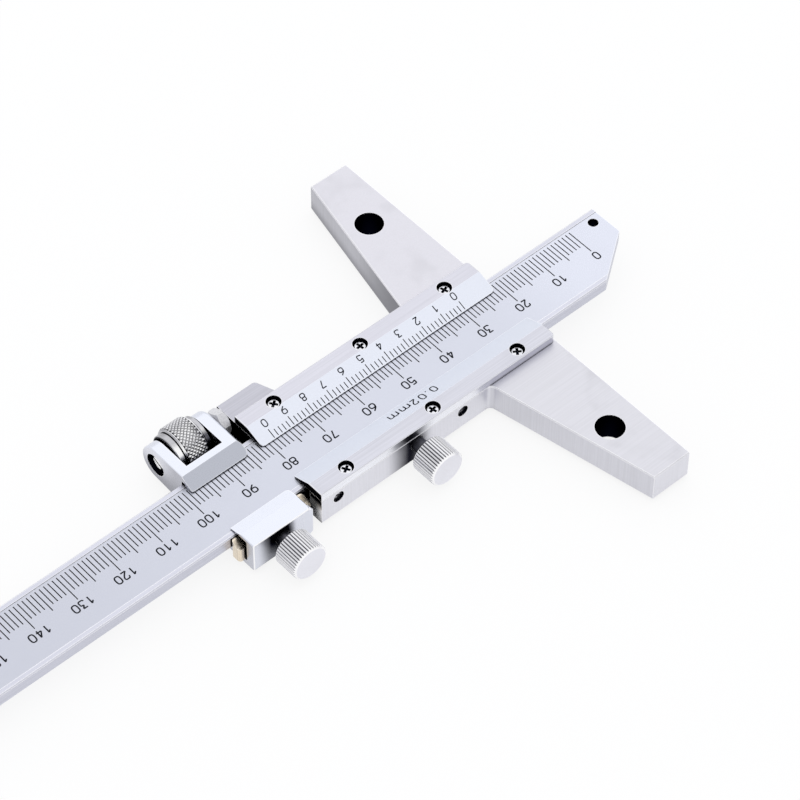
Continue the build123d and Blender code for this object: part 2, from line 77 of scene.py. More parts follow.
class Measure(Enum):
    """What the extent of a patch of another finish is measured on."""

    PLACE_X = "place x"
    PLACE_Y = "place y"
    PLACE_Z = "place z"
    FROM_MIDDLE = "distance from the middle line of the beam"
    FACING_X = "facing x"
    FACING_Y = "facing y"
    FACING_Z = "facing z"
    UPRIGHT = "how steep a wall stands"
    FROM_AXIS_X = "distance from a line along x"
    FROM_AXIS_Y = "distance from a line along y"
    FROM_AXIS_Z = "distance from a line along z"


class Workshop:
    """Edit mode and object mode work that the pieces share."""

    @staticmethod
    def clear() -> None:
        """Leaves edit mode and deselects everything."""
        if bpy.context.object and bpy.context.object.mode != "OBJECT":
            bpy.ops.object.mode_set(mode="OBJECT")
        bpy.ops.object.select_all(action="DESELECT")

    @staticmethod
    def take(piece: bpy.types.Object) -> None:
        """Makes one object the only selected and active one.

        Args:
            piece: The object.
        """
        Workshop.clear()
        piece.select_set(True)
        bpy.context.view_layer.objects.active = piece

    @staticmethod
    def open(piece: bpy.types.Object) -> None:
        """Opens an object in edit mode with nothing selected.

        Args:
            piece: The object.
        """
        Workshop.take(piece)
        bpy.ops.object.mode_set(mode="EDIT")
        bpy.ops.mesh.select_all(action="DESELECT")

    @staticmethod
    def pick(kind: str, test: Test) -> None:
        """Selects what passes a test in edit mode, and deselects the rest.

        Args:
            kind: VERT, EDGE or FACE.
            test: Takes the middle of the vertex, edge or face.
        """
        bpy.ops.mesh.select_all(action="DESELECT")
        bpy.ops.mesh.select_mode(type=kind)
        mesh = bpy.context.edit_object.data
        edited = bmesh.from_edit_mesh(mesh)
        if kind == "VERT":
            for vertex in edited.verts:
                vertex.select = test(vertex.co)
        elif kind == "EDGE":
            for edge in edited.edges:
                edge.select = test((edge.verts[0].co + edge.verts[1].co) / 2)
        else:
            for face in edited.faces:
                face.select = test(face.calc_center_median())
        edited.select_flush_mode()
        bmesh.update_edit_mesh(mesh)

    @staticmethod
    def close() -> None:
        """Welds doubles, points the faces outwards and leaves edit mode."""
        bpy.ops.mesh.select_all(action="SELECT")
        bpy.ops.mesh.remove_doubles(threshold=WELD)
        bpy.ops.mesh.normals_make_consistent(inside=False)
        bpy.ops.object.mode_set(mode="OBJECT")

    @staticmethod
    def settle(piece: bpy.types.Object) -> None:
        """Puts the place, turn and scale of an object into its mesh."""
        Workshop.take(piece)
        bpy.ops.object.transform_apply(location=True, rotation=True, scale=True)

    @staticmethod
    def apply_modifier(piece: bpy.types.Object, kind: str, **settings: object) -> None:
        """Adds a modifier to an object and applies it.

        Args:
            piece: The object that is changed.
            kind: Type of the modifier.
            settings: Values of the modifier by name.
        """
        Workshop.take(piece)
        modifier = piece.modifiers.new(kind.title(), kind)
        for name, value in settings.items():
            setattr(modifier, name, value)
        bpy.ops.object.modifier_apply(modifier=modifier.name)

    @staticmethod
    def block(size: Point, centre: Point | Vector, turn: Point = (0, 0, 0)) -> bpy.types.Object:
        """Adds a settled box.

        Args:
            size: Its edges, in metres.
            centre: Its middle, in metres.
            turn: Its turn about each axis.

        Returns:
            The box.
        """
        Workshop.clear()
        bpy.ops.mesh.primitive_cube_add(size=1, location=centre)
        made = bpy.context.object
        made.scale = size
        made.rotation_euler = turn
        Workshop.settle(made)
        return made

    @staticmethod
    def cut(piece: bpy.types.Object, cutter: bpy.types.Object) -> None:
        """Takes the form of a cutter out of an object, and removes the cutter."""
        Workshop.apply_modifier(piece, "BOOLEAN", object=cutter, operation="DIFFERENCE")
        Workshop.discard(cutter)

    @staticmethod
    def smooth(piece: bpy.types.Object, angle: float) -> None:
        """Shades an object smooth where its faces meet at less than an angle."""
        Workshop.take(piece)
        bpy.ops.object.shade_smooth_by_angle(angle=angle)

    @staticmethod
    def copied(model: bpy.types.Object, placement: Matrix) -> bpy.types.Object:
        """Copies a settled model with its own mesh.

        Args:
            model: The object to copy.
            placement: Matrix that moves the copy's mesh.

        Returns:
            The copy.
        """
        twin = model.copy()
        twin.data = model.data.copy()
        twin.data.transform(placement)
        bpy.context.scene.collection.objects.link(twin)
        return twin

    @staticmethod
    def joined(parts: list[bpy.types.Object], name: str) -> bpy.types.Object:
        """Joins settled objects into one.

        Args:
            parts: The objects.
            name: Name of the joined object.

        Returns:
            The joined object.
        """
        Workshop.clear()
        for part in parts:
            part.select_set(True)
        bpy.context.view_layer.objects.active = parts[0]
        if len(parts) > 1:
            bpy.ops.object.join()
        parts[0].name = name
        return parts[0]

    @staticmethod
    def discard(*pieces: bpy.types.Object) -> None:
        """Removes models and cutters that have done their work."""
        for piece in pieces:
            bpy.data.objects.remove(piece)


class ShaderGraph:
    """Nodes of one material, from its coordinates to its shader."""

    noise_roughness: float = 0.6
    crevice_samples: int = 12
    edge_samples: int = 4
    edge_turn: tuple[float, float] = (0.995, 0.93)

    def __init__(self, name: str) -> None:
        """Starts a material that reads object coordinates in millimetres.

        Args:
            name: Name of the material.
        """
        self.material = bpy.data.materials.new(name)
        self.material.use_nodes = True
        self.nodes = self.material.node_tree.nodes
        self.links = self.material.node_tree.links
        self.shader = self.nodes["Principled BSDF"]
        self.coordinates = self.nodes.new("ShaderNodeTexCoord")
        scale = self.node("ShaderNodeVectorMath", operation="SCALE")
        scale.inputs["Scale"].default_value = 1 / MM
        self.link(self.coordinates.outputs["Object"], scale.inputs[0])
        self.place = scale.outputs["Vector"]

    def node(self, kind: str, **settings: object) -> bpy.types.Node:
        """Adds a node and sets its properties.

        Args:
            kind: Type of the node.
            settings: Values of its properties by name.

        Returns:
            The node.
        """
        made = self.nodes.new(kind)
        for name, value in settings.items():
            setattr(made, name, value)
        return made

    def link(self, source: Socket | float, target: Socket) -> None:
        """Links a socket, or sets a number on it.

        Args:
            source: Where the value comes from, or the value.
            target: The socket that takes it.
        """
        if isinstance(source, (int, float)):
            target.default_value = source
        else:
            self.links.new(source, target)

    def maths(self, operation: str, first: Socket | float, second: Socket | float = 0.0) -> Socket:
        """Adds one step of arithmetic.

        Args:
            operation: Name of the operation.
            first: First operand.
            second: Second operand, where there is one.

        Returns:
            The result.
        """
        made = self.node("ShaderNodeMath", operation=operation)
        self.link(first, made.inputs[0])
        self.link(second, made.inputs[1])
        return made.outputs[0]

    def ramp(
        self, value: Socket, low: float, high: float, start: float = 0.0, end: float = 1.0
    ) -> Socket:
        """Turns a value into a smooth step.

        Args:
            value: What is measured.
            low: Where the step starts.
            high: Where it ends.
            start: Result at the start.
            end: Result at the end.

        Returns:
            The clamped result.
        """
        made = self.node("ShaderNodeMapRange", interpolation_type="SMOOTHSTEP")
        for socket, number in zip(made.inputs[1:5], (low, high, start, end)):
            socket.default_value = number
        self.link(value, made.inputs[0])
        return made.outputs[0]

    def part(self, vector: Socket, axis: int) -> Socket:
        """Takes one coordinate of a vector.

        Args:
            vector: The vector.
            axis: Number of the coordinate.

        Returns:
            The coordinate.
        """
        made = self.node("ShaderNodeSeparateXYZ")
        self.link(vector, made.inputs[0])
        return made.outputs[axis]

    def noise(self, steps: Point, detail: float) -> Socket:
        """Adds a noise pattern.

        Args:
            steps: Noise steps per millimetre on each axis.
            detail: Number of finer layers.

        Returns:
            A factor from 0 to 1.
        """
        mapping = self.node("ShaderNodeMapping")
        mapping.inputs["Scale"].default_value = steps
        self.link(self.place, mapping.inputs["Vector"])
        made = self.node("ShaderNodeTexNoise")
        made.inputs["Scale"].default_value = 1.0
        made.inputs["Detail"].default_value = detail
        made.inputs["Roughness"].default_value = self.noise_roughness
        self.link(mapping.outputs[0], made.inputs["Vector"])
        return made.outputs["Fac"]

    def brightness(self, colour: Socket) -> Socket:
        """Turns a colour into its grey level.

        Args:
            colour: The colour.

        Returns:
            Its grey level.
        """
        made = self.node("ShaderNodeRGBToBW")
        self.link(colour, made.inputs[0])
        return made.outputs[0]

    def mix(self, factor: Socket, first: Socket | Colour, second: Socket | Colour) -> Socket:
        """Mixes two colours, each a socket or a plain colour.

        Args:
            factor: Share of the second colour.
            first: Colour at 0.
            second: Colour at 1.

        Returns:
            The mixed colour.
        """
        made = self.node("ShaderNodeMix", data_type="RGBA")
        self.link(factor, made.inputs["Factor"])
        for source, target in ((first, made.inputs[6]), (second, made.inputs[7])):
            if isinstance(source, tuple):
                target.default_value = (*source, 1.0)
            else:
                self.link(source, target)
        return made.outputs[2]

    def mix_numbers(self, factor: Socket, first: Socket | float, second: Socket | float) -> Socket:
        """Mixes two numbers, each a socket or a plain number.

        Args:
            factor: Share of the second number.
            first: Number at 0.
            second: Number at 1.

        Returns:
            The mixed number.
        """
        made = self.node("ShaderNodeMix", data_type="FLOAT")
        self.link(factor, made.inputs["Factor"])
        self.link(first, made.inputs[2])
        self.link(second, made.inputs[3])
        return made.outputs[0]

    def from_lines(self, axis: int, centres: tuple[Point, ...]) -> Socket:
        """Measures how far the nearest of several parallel lines is.

        Args:
            axis: Number of the coordinate that the lines run along.
            centres: A point on each line.

        Returns:
            The distance in millimetres.
        """
        across = [0.0 if axis == count else 1.0 for count in range(3)]
        flat = self.node("ShaderNodeVectorMath", operation="MULTIPLY")
        flat.inputs[1].default_value = across
        self.link(self.place, flat.inputs[0])
        nearest: Socket | None = None
        for centre in centres:
            gap = self.node("ShaderNodeVectorMath", operation="DISTANCE")
            gap.inputs[1].default_value = [c * share for c, share in zip(centre, across)]
            self.link(flat.outputs["Vector"], gap.inputs[0])
            value = gap.outputs["Value"]
            nearest = self.maths("MINIMUM", nearest, value) if nearest else value
        return nearest

    def measured(self, limit: "Limit") -> Socket:
        """Reads what the edge of a patch is measured on.

        Args:
            limit: The edge.

        Returns:
            The measured value.
        """
        measure = limit.measure
        facing = self.coordinates.outputs["Normal"]
        if measure.name.startswith("FROM_AXIS"):
            return self.from_lines("XYZ".index(measure.name[-1]), limit.centres)
        if measure is Measure.FROM_MIDDLE:
            return self.maths("ABSOLUTE", self.part(self.place, 1))
        if measure is Measure.UPRIGHT:
            level = self.maths("ABSOLUTE", self.part(facing, 2))
            return self.maths("SUBTRACT", 1.0, level)
        axis = "xyz".index(measure.value[-1])
        vector = self.place if measure.value.startswith("place") else facing
        return self.part(vector, axis)

    def crevices(self, reach: float) -> Socket:
        """Occlusion mask for painted shade: gives 1 in the open and falls towards 0 in gaps.

        Args:
            reach: How far off another surface still darkens this one.

        Returns:
            A factor from 0 to 1.
        """
        made = self.node("ShaderNodeAmbientOcclusion", samples=self.crevice_samples)
        made.inputs["Distance"].default_value = reach * MM
        return made.outputs["AO"]

    def worn_edges(self, radius: float) -> Socket:
        """Mask of painted edge highlights: gives 1 on sharp edges and 0 on flat metal.

        Args:
            radius: Half the width of the highlight line.

        Returns:
            A factor from 0 to 1.
        """
        rounded = self.node("ShaderNodeBevel", samples=self.edge_samples)
        rounded.inputs["Radius"].default_value = radius * MM
        geometry = self.node("ShaderNodeNewGeometry")
        compare = self.node("ShaderNodeVectorMath", operation="DOT_PRODUCT")
        self.link(rounded.outputs[0], compare.inputs[0])
        self.link(geometry.outputs["Normal"], compare.inputs[1])
        return self.ramp(compare.outputs["Value"], *self.edge_turn)

    def set_bump(self, height: Socket, depth: float) -> None:
        """Lets a pattern raise the surface.

        Args:
            height: The pattern.
            depth: How far it raises the surface.
        """
        bump = self.node("ShaderNodeBump")
        bump.inputs["Distance"].default_value = depth * MM
        self.link(height, bump.inputs["Height"])
        self.link(bump.outputs[0], self.shader.inputs["Normal"])


@dataclass(frozen=True)
class Limit:
    """One edge of a patch: outside at low, inside at high."""

    measure: Measure
    low: float
    high: float
    centres: tuple[Point, ...] = ()


@dataclass(frozen=True)
class Surface:
    """Look of one worked metal surface."""

    tone: Colour
    grain: Grain
    contrast: float = 0.06
    cloud: float = 0.03
    roughness: float = 0.38

    def toned(self, *tone: float) -> "Surface":
        """The same surface in another tone."""
        return replace(self, tone=tone)


@dataclass(frozen=True)
class Patch:
    """A part of a piece that was finished in another way."""

    surface: Surface
    limits: tuple[Limit, ...]


def patch(surface: Surface, *limits: Limit) -> Patch:
    """Patch of a surface where all its limits hold."""
    return Patch(surface, limits)


def bores(axis: Measure, radius: float, centres: tuple[Point, ...], *ends: Limit) -> Patch:
    """Patch of painted shade that leaves the inside of round holes black.

    Args:
        axis: Direction of the holes.
        radius: Radius that the black ends at.
        centres: A point on the axis of each hole.
        ends: Other edges of the black, as for holes that aren't drilled right through.

    Returns:
        The patch.
    """
    outside, inside = (radius + margin for margin in BORE_RIM)
    return patch(HOLE_SHADE_BLACK, Limit(axis, outside, inside, centres), *ends)


def neck_shade(start: float, dark: tuple[float, float], end: float) -> tuple[Limit, Limit]:
    """Limits of the soft dark band that a screw's neck leaves on the wall behind it.

    Args:
        start: Place along the beam where the rear side fades out.
        dark: Places between which it is darkest.
        end: Place where the front side fades out.

    Returns:
        Both limits.
    """
    return Limit(Measure.PLACE_X, start, dark[0]), Limit(Measure.PLACE_X, end, dark[1])


@dataclass(frozen=True)
class Shade:
    """Painted shade from metal near a surface, black at dark and bare at clear."""

    reach: float
    dark: float
    clear: float


@dataclass(frozen=True)
class MetalFinish:
    """Bare or plated metal with grain, painted highlights on its edges and painted shade in its
    crevices.
    """

    name: str
    base: Surface
    patches: tuple[Patch, ...] = ()
    grain_depth: float = 0.0015
    edge_tone: Colour = (0.98, 0.98, 1.0)
    edge_radius: float = 0.24
    edge_strength: float = 0.9
    crevice_tone: Colour = (0.004, 0.005, 0.011)
    crevice: Shade = Shade(0.7, 0.45, 0.68)
    shade: Shade = Shade(5.0, 0.22, 0.52)
    metallic: float = 1.0
    grain_detail: float = 4.0
    grain_span: tuple[float, ...] = (0.3, 0.7)
    cloud_steps: Point = (0.14, 0.14, 0.14)
    cloud_detail: float = 2.0
    cloud_span: tuple[float, ...] = (0.5, 0.8, 0.0, 0.5)
    rough_span: tuple[float, ...] = (0.2, 0.8, -0.04, 0.06)
    tint_span: tuple[float, ...] = (0.01, 0.12)

    def worked(self, graph: ShaderGraph, surface: Surface) -> tuple[Socket, Socket]:
        """Adds the grain of one surface.

        Args:
            graph: The material.
            surface: Look of the surface.

        Returns:
            Its colour and the height of its grain.
        """
        lines = graph.noise(surface.grain.value, self.grain_detail)
        clouds = graph.noise(self.cloud_steps, self.cloud_detail)
        dark = tuple(channel * (1 - 2 * surface.contrast) for channel in surface.tone)
        light = tuple(min(1.0, channel * (1 + surface.contrast)) for channel in surface.tone)
        colour = graph.mix(graph.ramp(lines, *self.grain_span), dark, light)
        shaded = tuple(channel * (1 - 3 * surface.cloud) for channel in surface.tone)
        return graph.mix(graph.ramp(clouds, *self.cloud_span), colour, shaded), lines

    def material(self) -> bpy.types.Material:
        """Builds the material.

        Returns:
            The material.
        """
        graph = ShaderGraph(self.name)
        colour, height = self.worked(graph, self.base)
        rough: Socket | float = self.base.roughness
        for area in self.patches:
            cover: Socket | float = 1.0
            for limit in area.limits:
                value = graph.measured(limit)
                cover = graph.maths("MULTIPLY", cover, graph.ramp(value, limit.low, limit.high))
            other, other_height = self.worked(graph, area.surface)
            colour = graph.mix(cover, colour, other)
            height = graph.mix_numbers(cover, height, other_height)
            rough = graph.mix_numbers(cover, rough, area.surface.roughness)
        # Painted highlight: sharp edges are mixed towards a near-white tone.
        if self.edge_strength:
            highlight = graph.maths("MULTIPLY", graph.worn_edges(self.edge_radius), self.edge_strength)
            colour = graph.mix(highlight, colour, self.edge_tone)
        # Painted shade: near and wide occlusion mixes the colour towards near-black in crevices and
        # beside other parts.
        near, wide = (
            graph.ramp(graph.crevices(shade.reach), shade.dark, shade.clear)
            for shade in (self.crevice, self.shade)
        )
        open_metal = graph.maths("MULTIPLY", near, wide)
        colour = graph.mix(open_metal, self.crevice_tone, colour)
        shader = graph.shader.inputs
        graph.link(colour, shader["Base Color"])
        spread = graph.ramp(height, *self.rough_span)
        graph.link(graph.maths("ADD", rough, spread), shader["Roughness"])
        shader["Metallic"].default_value = self.metallic
        # Specular tint follows the colour, so painted black also loses its reflection.
        tint = graph.ramp(graph.brightness(colour), *self.tint_span)
        graph.link(tint, shader["Specular Tint"])
        graph.set_bump(height, self.grain_depth)
        return graph.material


@dataclass(frozen=True)
class InkFinish:
    """Dark filling of engraved lines and numbers."""

    name: str
    tone: Colour = (0.004, 0.005, 0.009)
    thin_tone: Colour = (0.022, 0.025, 0.035)
    roughness: float = 0.6
    gloss: float = 0.15
    blotch_steps: Point = (1.7, 1.7, 1.7)
    blotch_detail: float = 3.0
    blotch_span: tuple[float, ...] = (0.35, 0.75)
    pore_steps: Point = (14.0, 14.0, 14.0)
    pore_detail: float = 2.0
    pore_depth: float = 0.003

    def material(self) -> bpy.types.Material:
        """Builds the material.

        Returns:
            The material.
        """
        graph = ShaderGraph(self.name)
        uneven = graph.noise(self.blotch_steps, self.blotch_detail)
        colour = graph.mix(graph.ramp(uneven, *self.blotch_span), self.tone, self.thin_tone)
        graph.link(colour, graph.shader.inputs["Base Color"])
        graph.shader.inputs["Roughness"].default_value = self.roughness
        graph.shader.inputs["Specular IOR Level"].default_value = self.gloss
        fine = graph.noise(self.pore_steps, self.pore_detail)
        graph.set_bump(fine, self.pore_depth)
        return graph.material


SCALE_MIDDLE = Surface((0.610, 0.629, 0.711), Grain.EVEN, 0.008, 0.010, 0.42)
# Painted light and shade: the sunk scale face is lighter towards the tip and darker towards the
# rear.
SCALE_TIP_LIT = SCALE_MIDDLE.toned(0.680, 0.702, 0.794)
SCALE_REAR_SHADE = SCALE_MIDDLE.toned(0.556, 0.573, 0.650)
RAIL = Surface((0.617, 0.626, 0.711), Grain.ALONG_X, 0.04, 0.03, 0.34)
# Painted light: both bevels have the scale's satin, painted lighter than the scale face, the
# vernier bevel most.
VERNIER_BEVEL = SCALE_MIDDLE.toned(0.79, 0.82, 0.91)
COVER_BEVEL = SCALE_MIDDLE.toned(0.71, 0.74, 0.825)
VERNIER_FLAT = Surface((0.62, 0.62, 0.69), Grain.ALONG_X, 0.035, 0.02, 0.34)
COVER_FLAT = Surface((0.60, 0.605, 0.672), Grain.ALONG_X, 0.045, 0.03, 0.34)
PLATE_SIDE = Surface((0.88, 0.89, 0.95), Grain.ALONG_X, 0.03, 0.02, 0.24)
SHADED_SIDE = Surface((0.68, 0.68, 0.76), Grain.ALONG_X, 0.03, 0.02, 0.3)
ARM_TOP = Surface((0.66, 0.655, 0.71), Grain.EVEN, 0.018, 0.05, 0.38)
RIGHT_ARM_TOP = Surface((0.645, 0.645, 0.695), Grain.ALONG_X, 0.025, 0.07, 0.38)
LUG_TOP = Surface((0.50, 0.50, 0.56), Grain.ALONG_X, 0.05, 0.03, 0.36)
BRIGHT_WALL = Surface((0.67, 0.67, 0.725), Grain.ALONG_Z, 0.03, 0.02, 0.36)
# Painted light: slider walls facing -Y are lighter than the rest.
SIDE_WALL = Surface((0.78, 0.78, 0.84), Grain.ALONG_Z, 0.025, 0.02, 0.36)
# Painted shade: rear-facing walls by the left arm, darker still towards the root and the foot.
SHADED_WALL = Surface((0.50, 0.50, 0.545), Grain.ALONG_Z, 0.05, 0.03, 0.36)
SHADED_WALL_ROOT = SHADED_WALL.toned(0.19, 0.19, 0.215)
SHADED_WALL_FOOT = SHADED_WALL.toned(0.22, 0.22, 0.25)
SCREW_SHADE = Surface((0.05, 0.05, 0.065), Grain.ALONG_Z, 0.04, 0.02, 0.36)
END_WALL = Surface((0.92, 0.92, 0.97), Grain.ALONG_Z, 0.06, 0.03, 0.3)
# Painted shade: near-black on walls that lie in shade, such as end faces and walls behind screws.
WALL_SHADE_BLACK = Surface((0.022, 0.022, 0.032), Grain.ALONG_Z, 0.06, 0.03, 0.4)
POLISHED = Surface((0.72, 0.745, 0.83), Grain.EVEN, 0.004, 0.008, 0.26)
# Painted shade: shaded copies of the carriage's polished finish for its bevel and walls.
POLISHED_BEVEL_SHADE = Surface((0.49, 0.51, 0.578), Grain.EVEN, 0.004, 0.008, 0.3)
POLISHED_WALL_SHADE = Surface((0.56, 0.57, 0.63), Grain.ALONG_Z, 0.02, 0.02, 0.28)
REAR_WALL = POLISHED_WALL_SHADE.toned(0.72, 0.73, 0.80)
# Painted shade on the carriage's rear wall, inwards and at its foot.
REAR_WALL_INNER_SHADE = POLISHED_WALL_SHADE.toned(0.46, 0.465, 0.52)
REAR_WALL_FOOT_SHADE = POLISHED_WALL_SHADE.toned(0.30, 0.305, 0.345)
CLAMP_FACE = Surface((0.74, 0.76, 0.84), Grain.ALONG_Z, 0.01, 0.02, 0.28)
# Painted highlight: near-white tone for edges, rims and end faces.
EDGE_HIGHLIGHT = POLISHED_BEVEL_SHADE.toned(0.98, 0.98, 1.0)
# Painted shade: near-black inside holes, knurl pits, grooves and screw recesses.
HOLE_SHADE_BLACK = Surface((0.003, 0.0035, 0.009), Grain.EVEN, 0.05, 0.05, 0.45)
GIB_BRONZE = Surface((0.16, 0.13, 0.09), Grain.ALONG_X)
LEAF_BRONZE = Surface((0.82, 0.72, 0.585), Grain.ALONG_Z, 0.10, 0.10, 0.24)
PLATE_SCREW = Surface((0.74, 0.75, 0.80), Grain.EVEN, 0.05, 0.05, 0.24)
SET_SCREW = Surface((0.50, 0.50, 0.55), Grain.EVEN, 0.06, 0.05, 0.3)
THREAD = Surface((0.66, 0.67, 0.70), Grain.EVEN, 0.06, 0.04, 0.25)
LOCK_NUT = Surface((0.72, 0.72, 0.75), Grain.EVEN, 0.07, 0.07, 0.34)
KNURL = Surface((0.89, 0.89, 0.92), Grain.EVEN, 0.05, 0.05, 0.2)
# Painted light and shade on the knurled nut: lighter facing -Y, darker facing +Y and on its rear
# faces.
KNURL_FRONT_HIGHLIGHT = Surface((0.97, 0.97, 0.98), Grain.EVEN, 0.04, 0.04, 0.2)
KNURL_REAR_SHADE = Surface((0.34, 0.34, 0.365), Grain.EVEN, 0.08, 0.1, 0.2)
KNURL_SHADED = KNURL_REAR_SHADE.toned(0.10, 0.10, 0.12)
NUT_COLLAR = Surface((0.50, 0.50, 0.53), Grain.EVEN, 0.04, 0.1, 0.2)
NUT_REAR_FACE_SHADE = KNURL_REAR_SHADE.toned(0.46, 0.46, 0.49)
THUMB_TEETH = Surface((0.72, 0.72, 0.75), Grain.ALONG_Y, 0.05, 0.05, 0.25)
# Painted shade between the teeth of the thumb screws.
THUMB_GAP_SHADE = Surface((0.10, 0.10, 0.12), Grain.ALONG_Y, 0.1, 0.1, 0.35)
THUMB_FACE = Surface((0.84, 0.84, 0.90), Grain.EVEN, 0.012, 0.03, 0.36)

UPRIGHT = Limit(Measure.UPRIGHT, 0.5, 0.8)
OUTWARD = Limit(Measure.FACING_Y, -0.7, -0.9)
REARWARD = Limit(Measure.FACING_X, -0.7, -0.9)
NEAR_WALL = Limit(Measure.PLACE_Y, -12.0, -12.5)
LOCK_SHADE = neck_shade(-44.5, (-38.0, -38.0), -31.5)


class Dresser:
    """Gives finishes to CAD nodes and new pieces."""

    @staticmethod
    def node(name: str, finish: MetalFinish) -> None:
        """Gives a CAD node its material.

        Args:
            name: Name of the node.
            finish: Its material.
        """
        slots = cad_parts[name].data.materials
        slots.clear()
        slots.append(finish.material())
        log.info("dressed %s in %s", name, finish.name)

    @staticmethod
    def piece(
        made: bpy.types.Object, body: str, slot: str, finish: MetalFinish | InkFinish
    ) -> None:
        """Gives a new piece its material and body.

        Args:
            made: The finished object.
            body: Body that it rides on.
            slot: Not used.
            finish: Its material.
        """
        made.data.materials.clear()
        made.data.materials.append(finish.material())
        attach(made, body)
        log.info("built %s on %s", made.name, body)


@dataclass(frozen=True)
class Stroke:
    """One stroke of a letter, in a box one unit wide about x = 0 and one unit high."""

    points: tuple[tuple[float, float], ...]
    curved: bool = False
    closed: bool = False

    def runs(self) -> list["Stroke"]:
        """Splits a straight stroke at its corners, where it would be narrow otherwise.

        Returns:
            The runs of a straight stroke, or the curved stroke itself.
        """
        if self.curved:
            return [self]
        return [Stroke(pair) for pair in zip(self.points, self.points[1:])]


def ring(middle: float, half_width: float, half_height: float) -> Stroke:
    """Closed stroke of rather straight sided oval form.

    Args:
        middle: Height of its centre.
        half_width: Half of its width.
        half_height: Half of its height.

    Returns:
        The stroke.
    """
    outline = ((1, -0.5), (1, 0.5), (0.64, 1), (-0.64, 1), (-1, 0.5), (-1, -0.5))
    outline = (*outline, (-0.64, -1), (0.64, -1))
    points = tuple((x * half_width, middle + y * half_height) for x, y in outline)
    return Stroke(points, curved=True, closed=True)


def arc(*points: tuple[float, float]) -> Stroke:
    """Open curved stroke that leans on its middle points."""
    return Stroke(points, curved=True)


def line(*points: tuple[float, float]) -> Stroke:
    """Open stroke with straight runs."""
    return Stroke(points)


LETTERS: dict[str, tuple[Stroke, ...]] = {
    "0": (ring(0.5, 0.5, 0.5),),
    "1": (line((-0.32, 0.72), (0.12, 1), (0.12, 0)),),
    "2": (
        arc((-0.46, 0.7), (-0.42, 1), (0.02, 1), (0.48, 1), (0.5, 0.58), (-0.46, 0)),
        line((-0.46, 0), (0.5, 0)),
    ),
    "3": (
        line((-0.42, 1), (0.42, 1), (-0.04, 0.6)),
        arc((-0.04, 0.6), (0.5, 0.64), (0.5, 0.3), (0.5, 0), (0, 0), (-0.38, 0), (-0.48, 0.16)),
    ),
    "4": (line((0.2, 0), (0.2, 1), (-0.5, 0.28), (0.5, 0.28)),),
    "5": (
        line((0.4, 1), (-0.34, 1), (-0.4, 0.55)),
        arc((-0.4, 0.55), (-0.1, 0.68), (0.48, 0.68), (0.5, 0.32), (0.5, 0), (0, 0), (-0.48, 0.12)),
    ),
    "6": (arc((0.34, 1), (-0.14, 0.76), (-0.5, 0.58), (-0.5, 0.3)), ring(0.3, 0.5, 0.3)),
    "7": (line((-0.48, 1), (0.48, 1), (-0.18, 0)),),
    "8": (ring(0.77, 0.38, 0.23), ring(0.28, 0.5, 0.28)),
    "9": (arc((-0.34, 0), (0.14, 0.24), (0.5, 0.42), (0.5, 0.7)), ring(0.7, 0.5, 0.3)),
    ".": (line((-0.12, 0.07), (0.12, 0.07)),),
    "m": (
        line((-0.93, 0), (-0.93, 0.7)),
        arc((-0.93, 0.42), (-0.8, 0.7), (-0.4, 0.7), (0, 0.7), (0, 0.4), (0, 0)),
        arc((0, 0.42), (0.13, 0.7), (0.53, 0.7), (0.93, 0.7), (0.93, 0.4), (0.93, 0)),
    ),
}


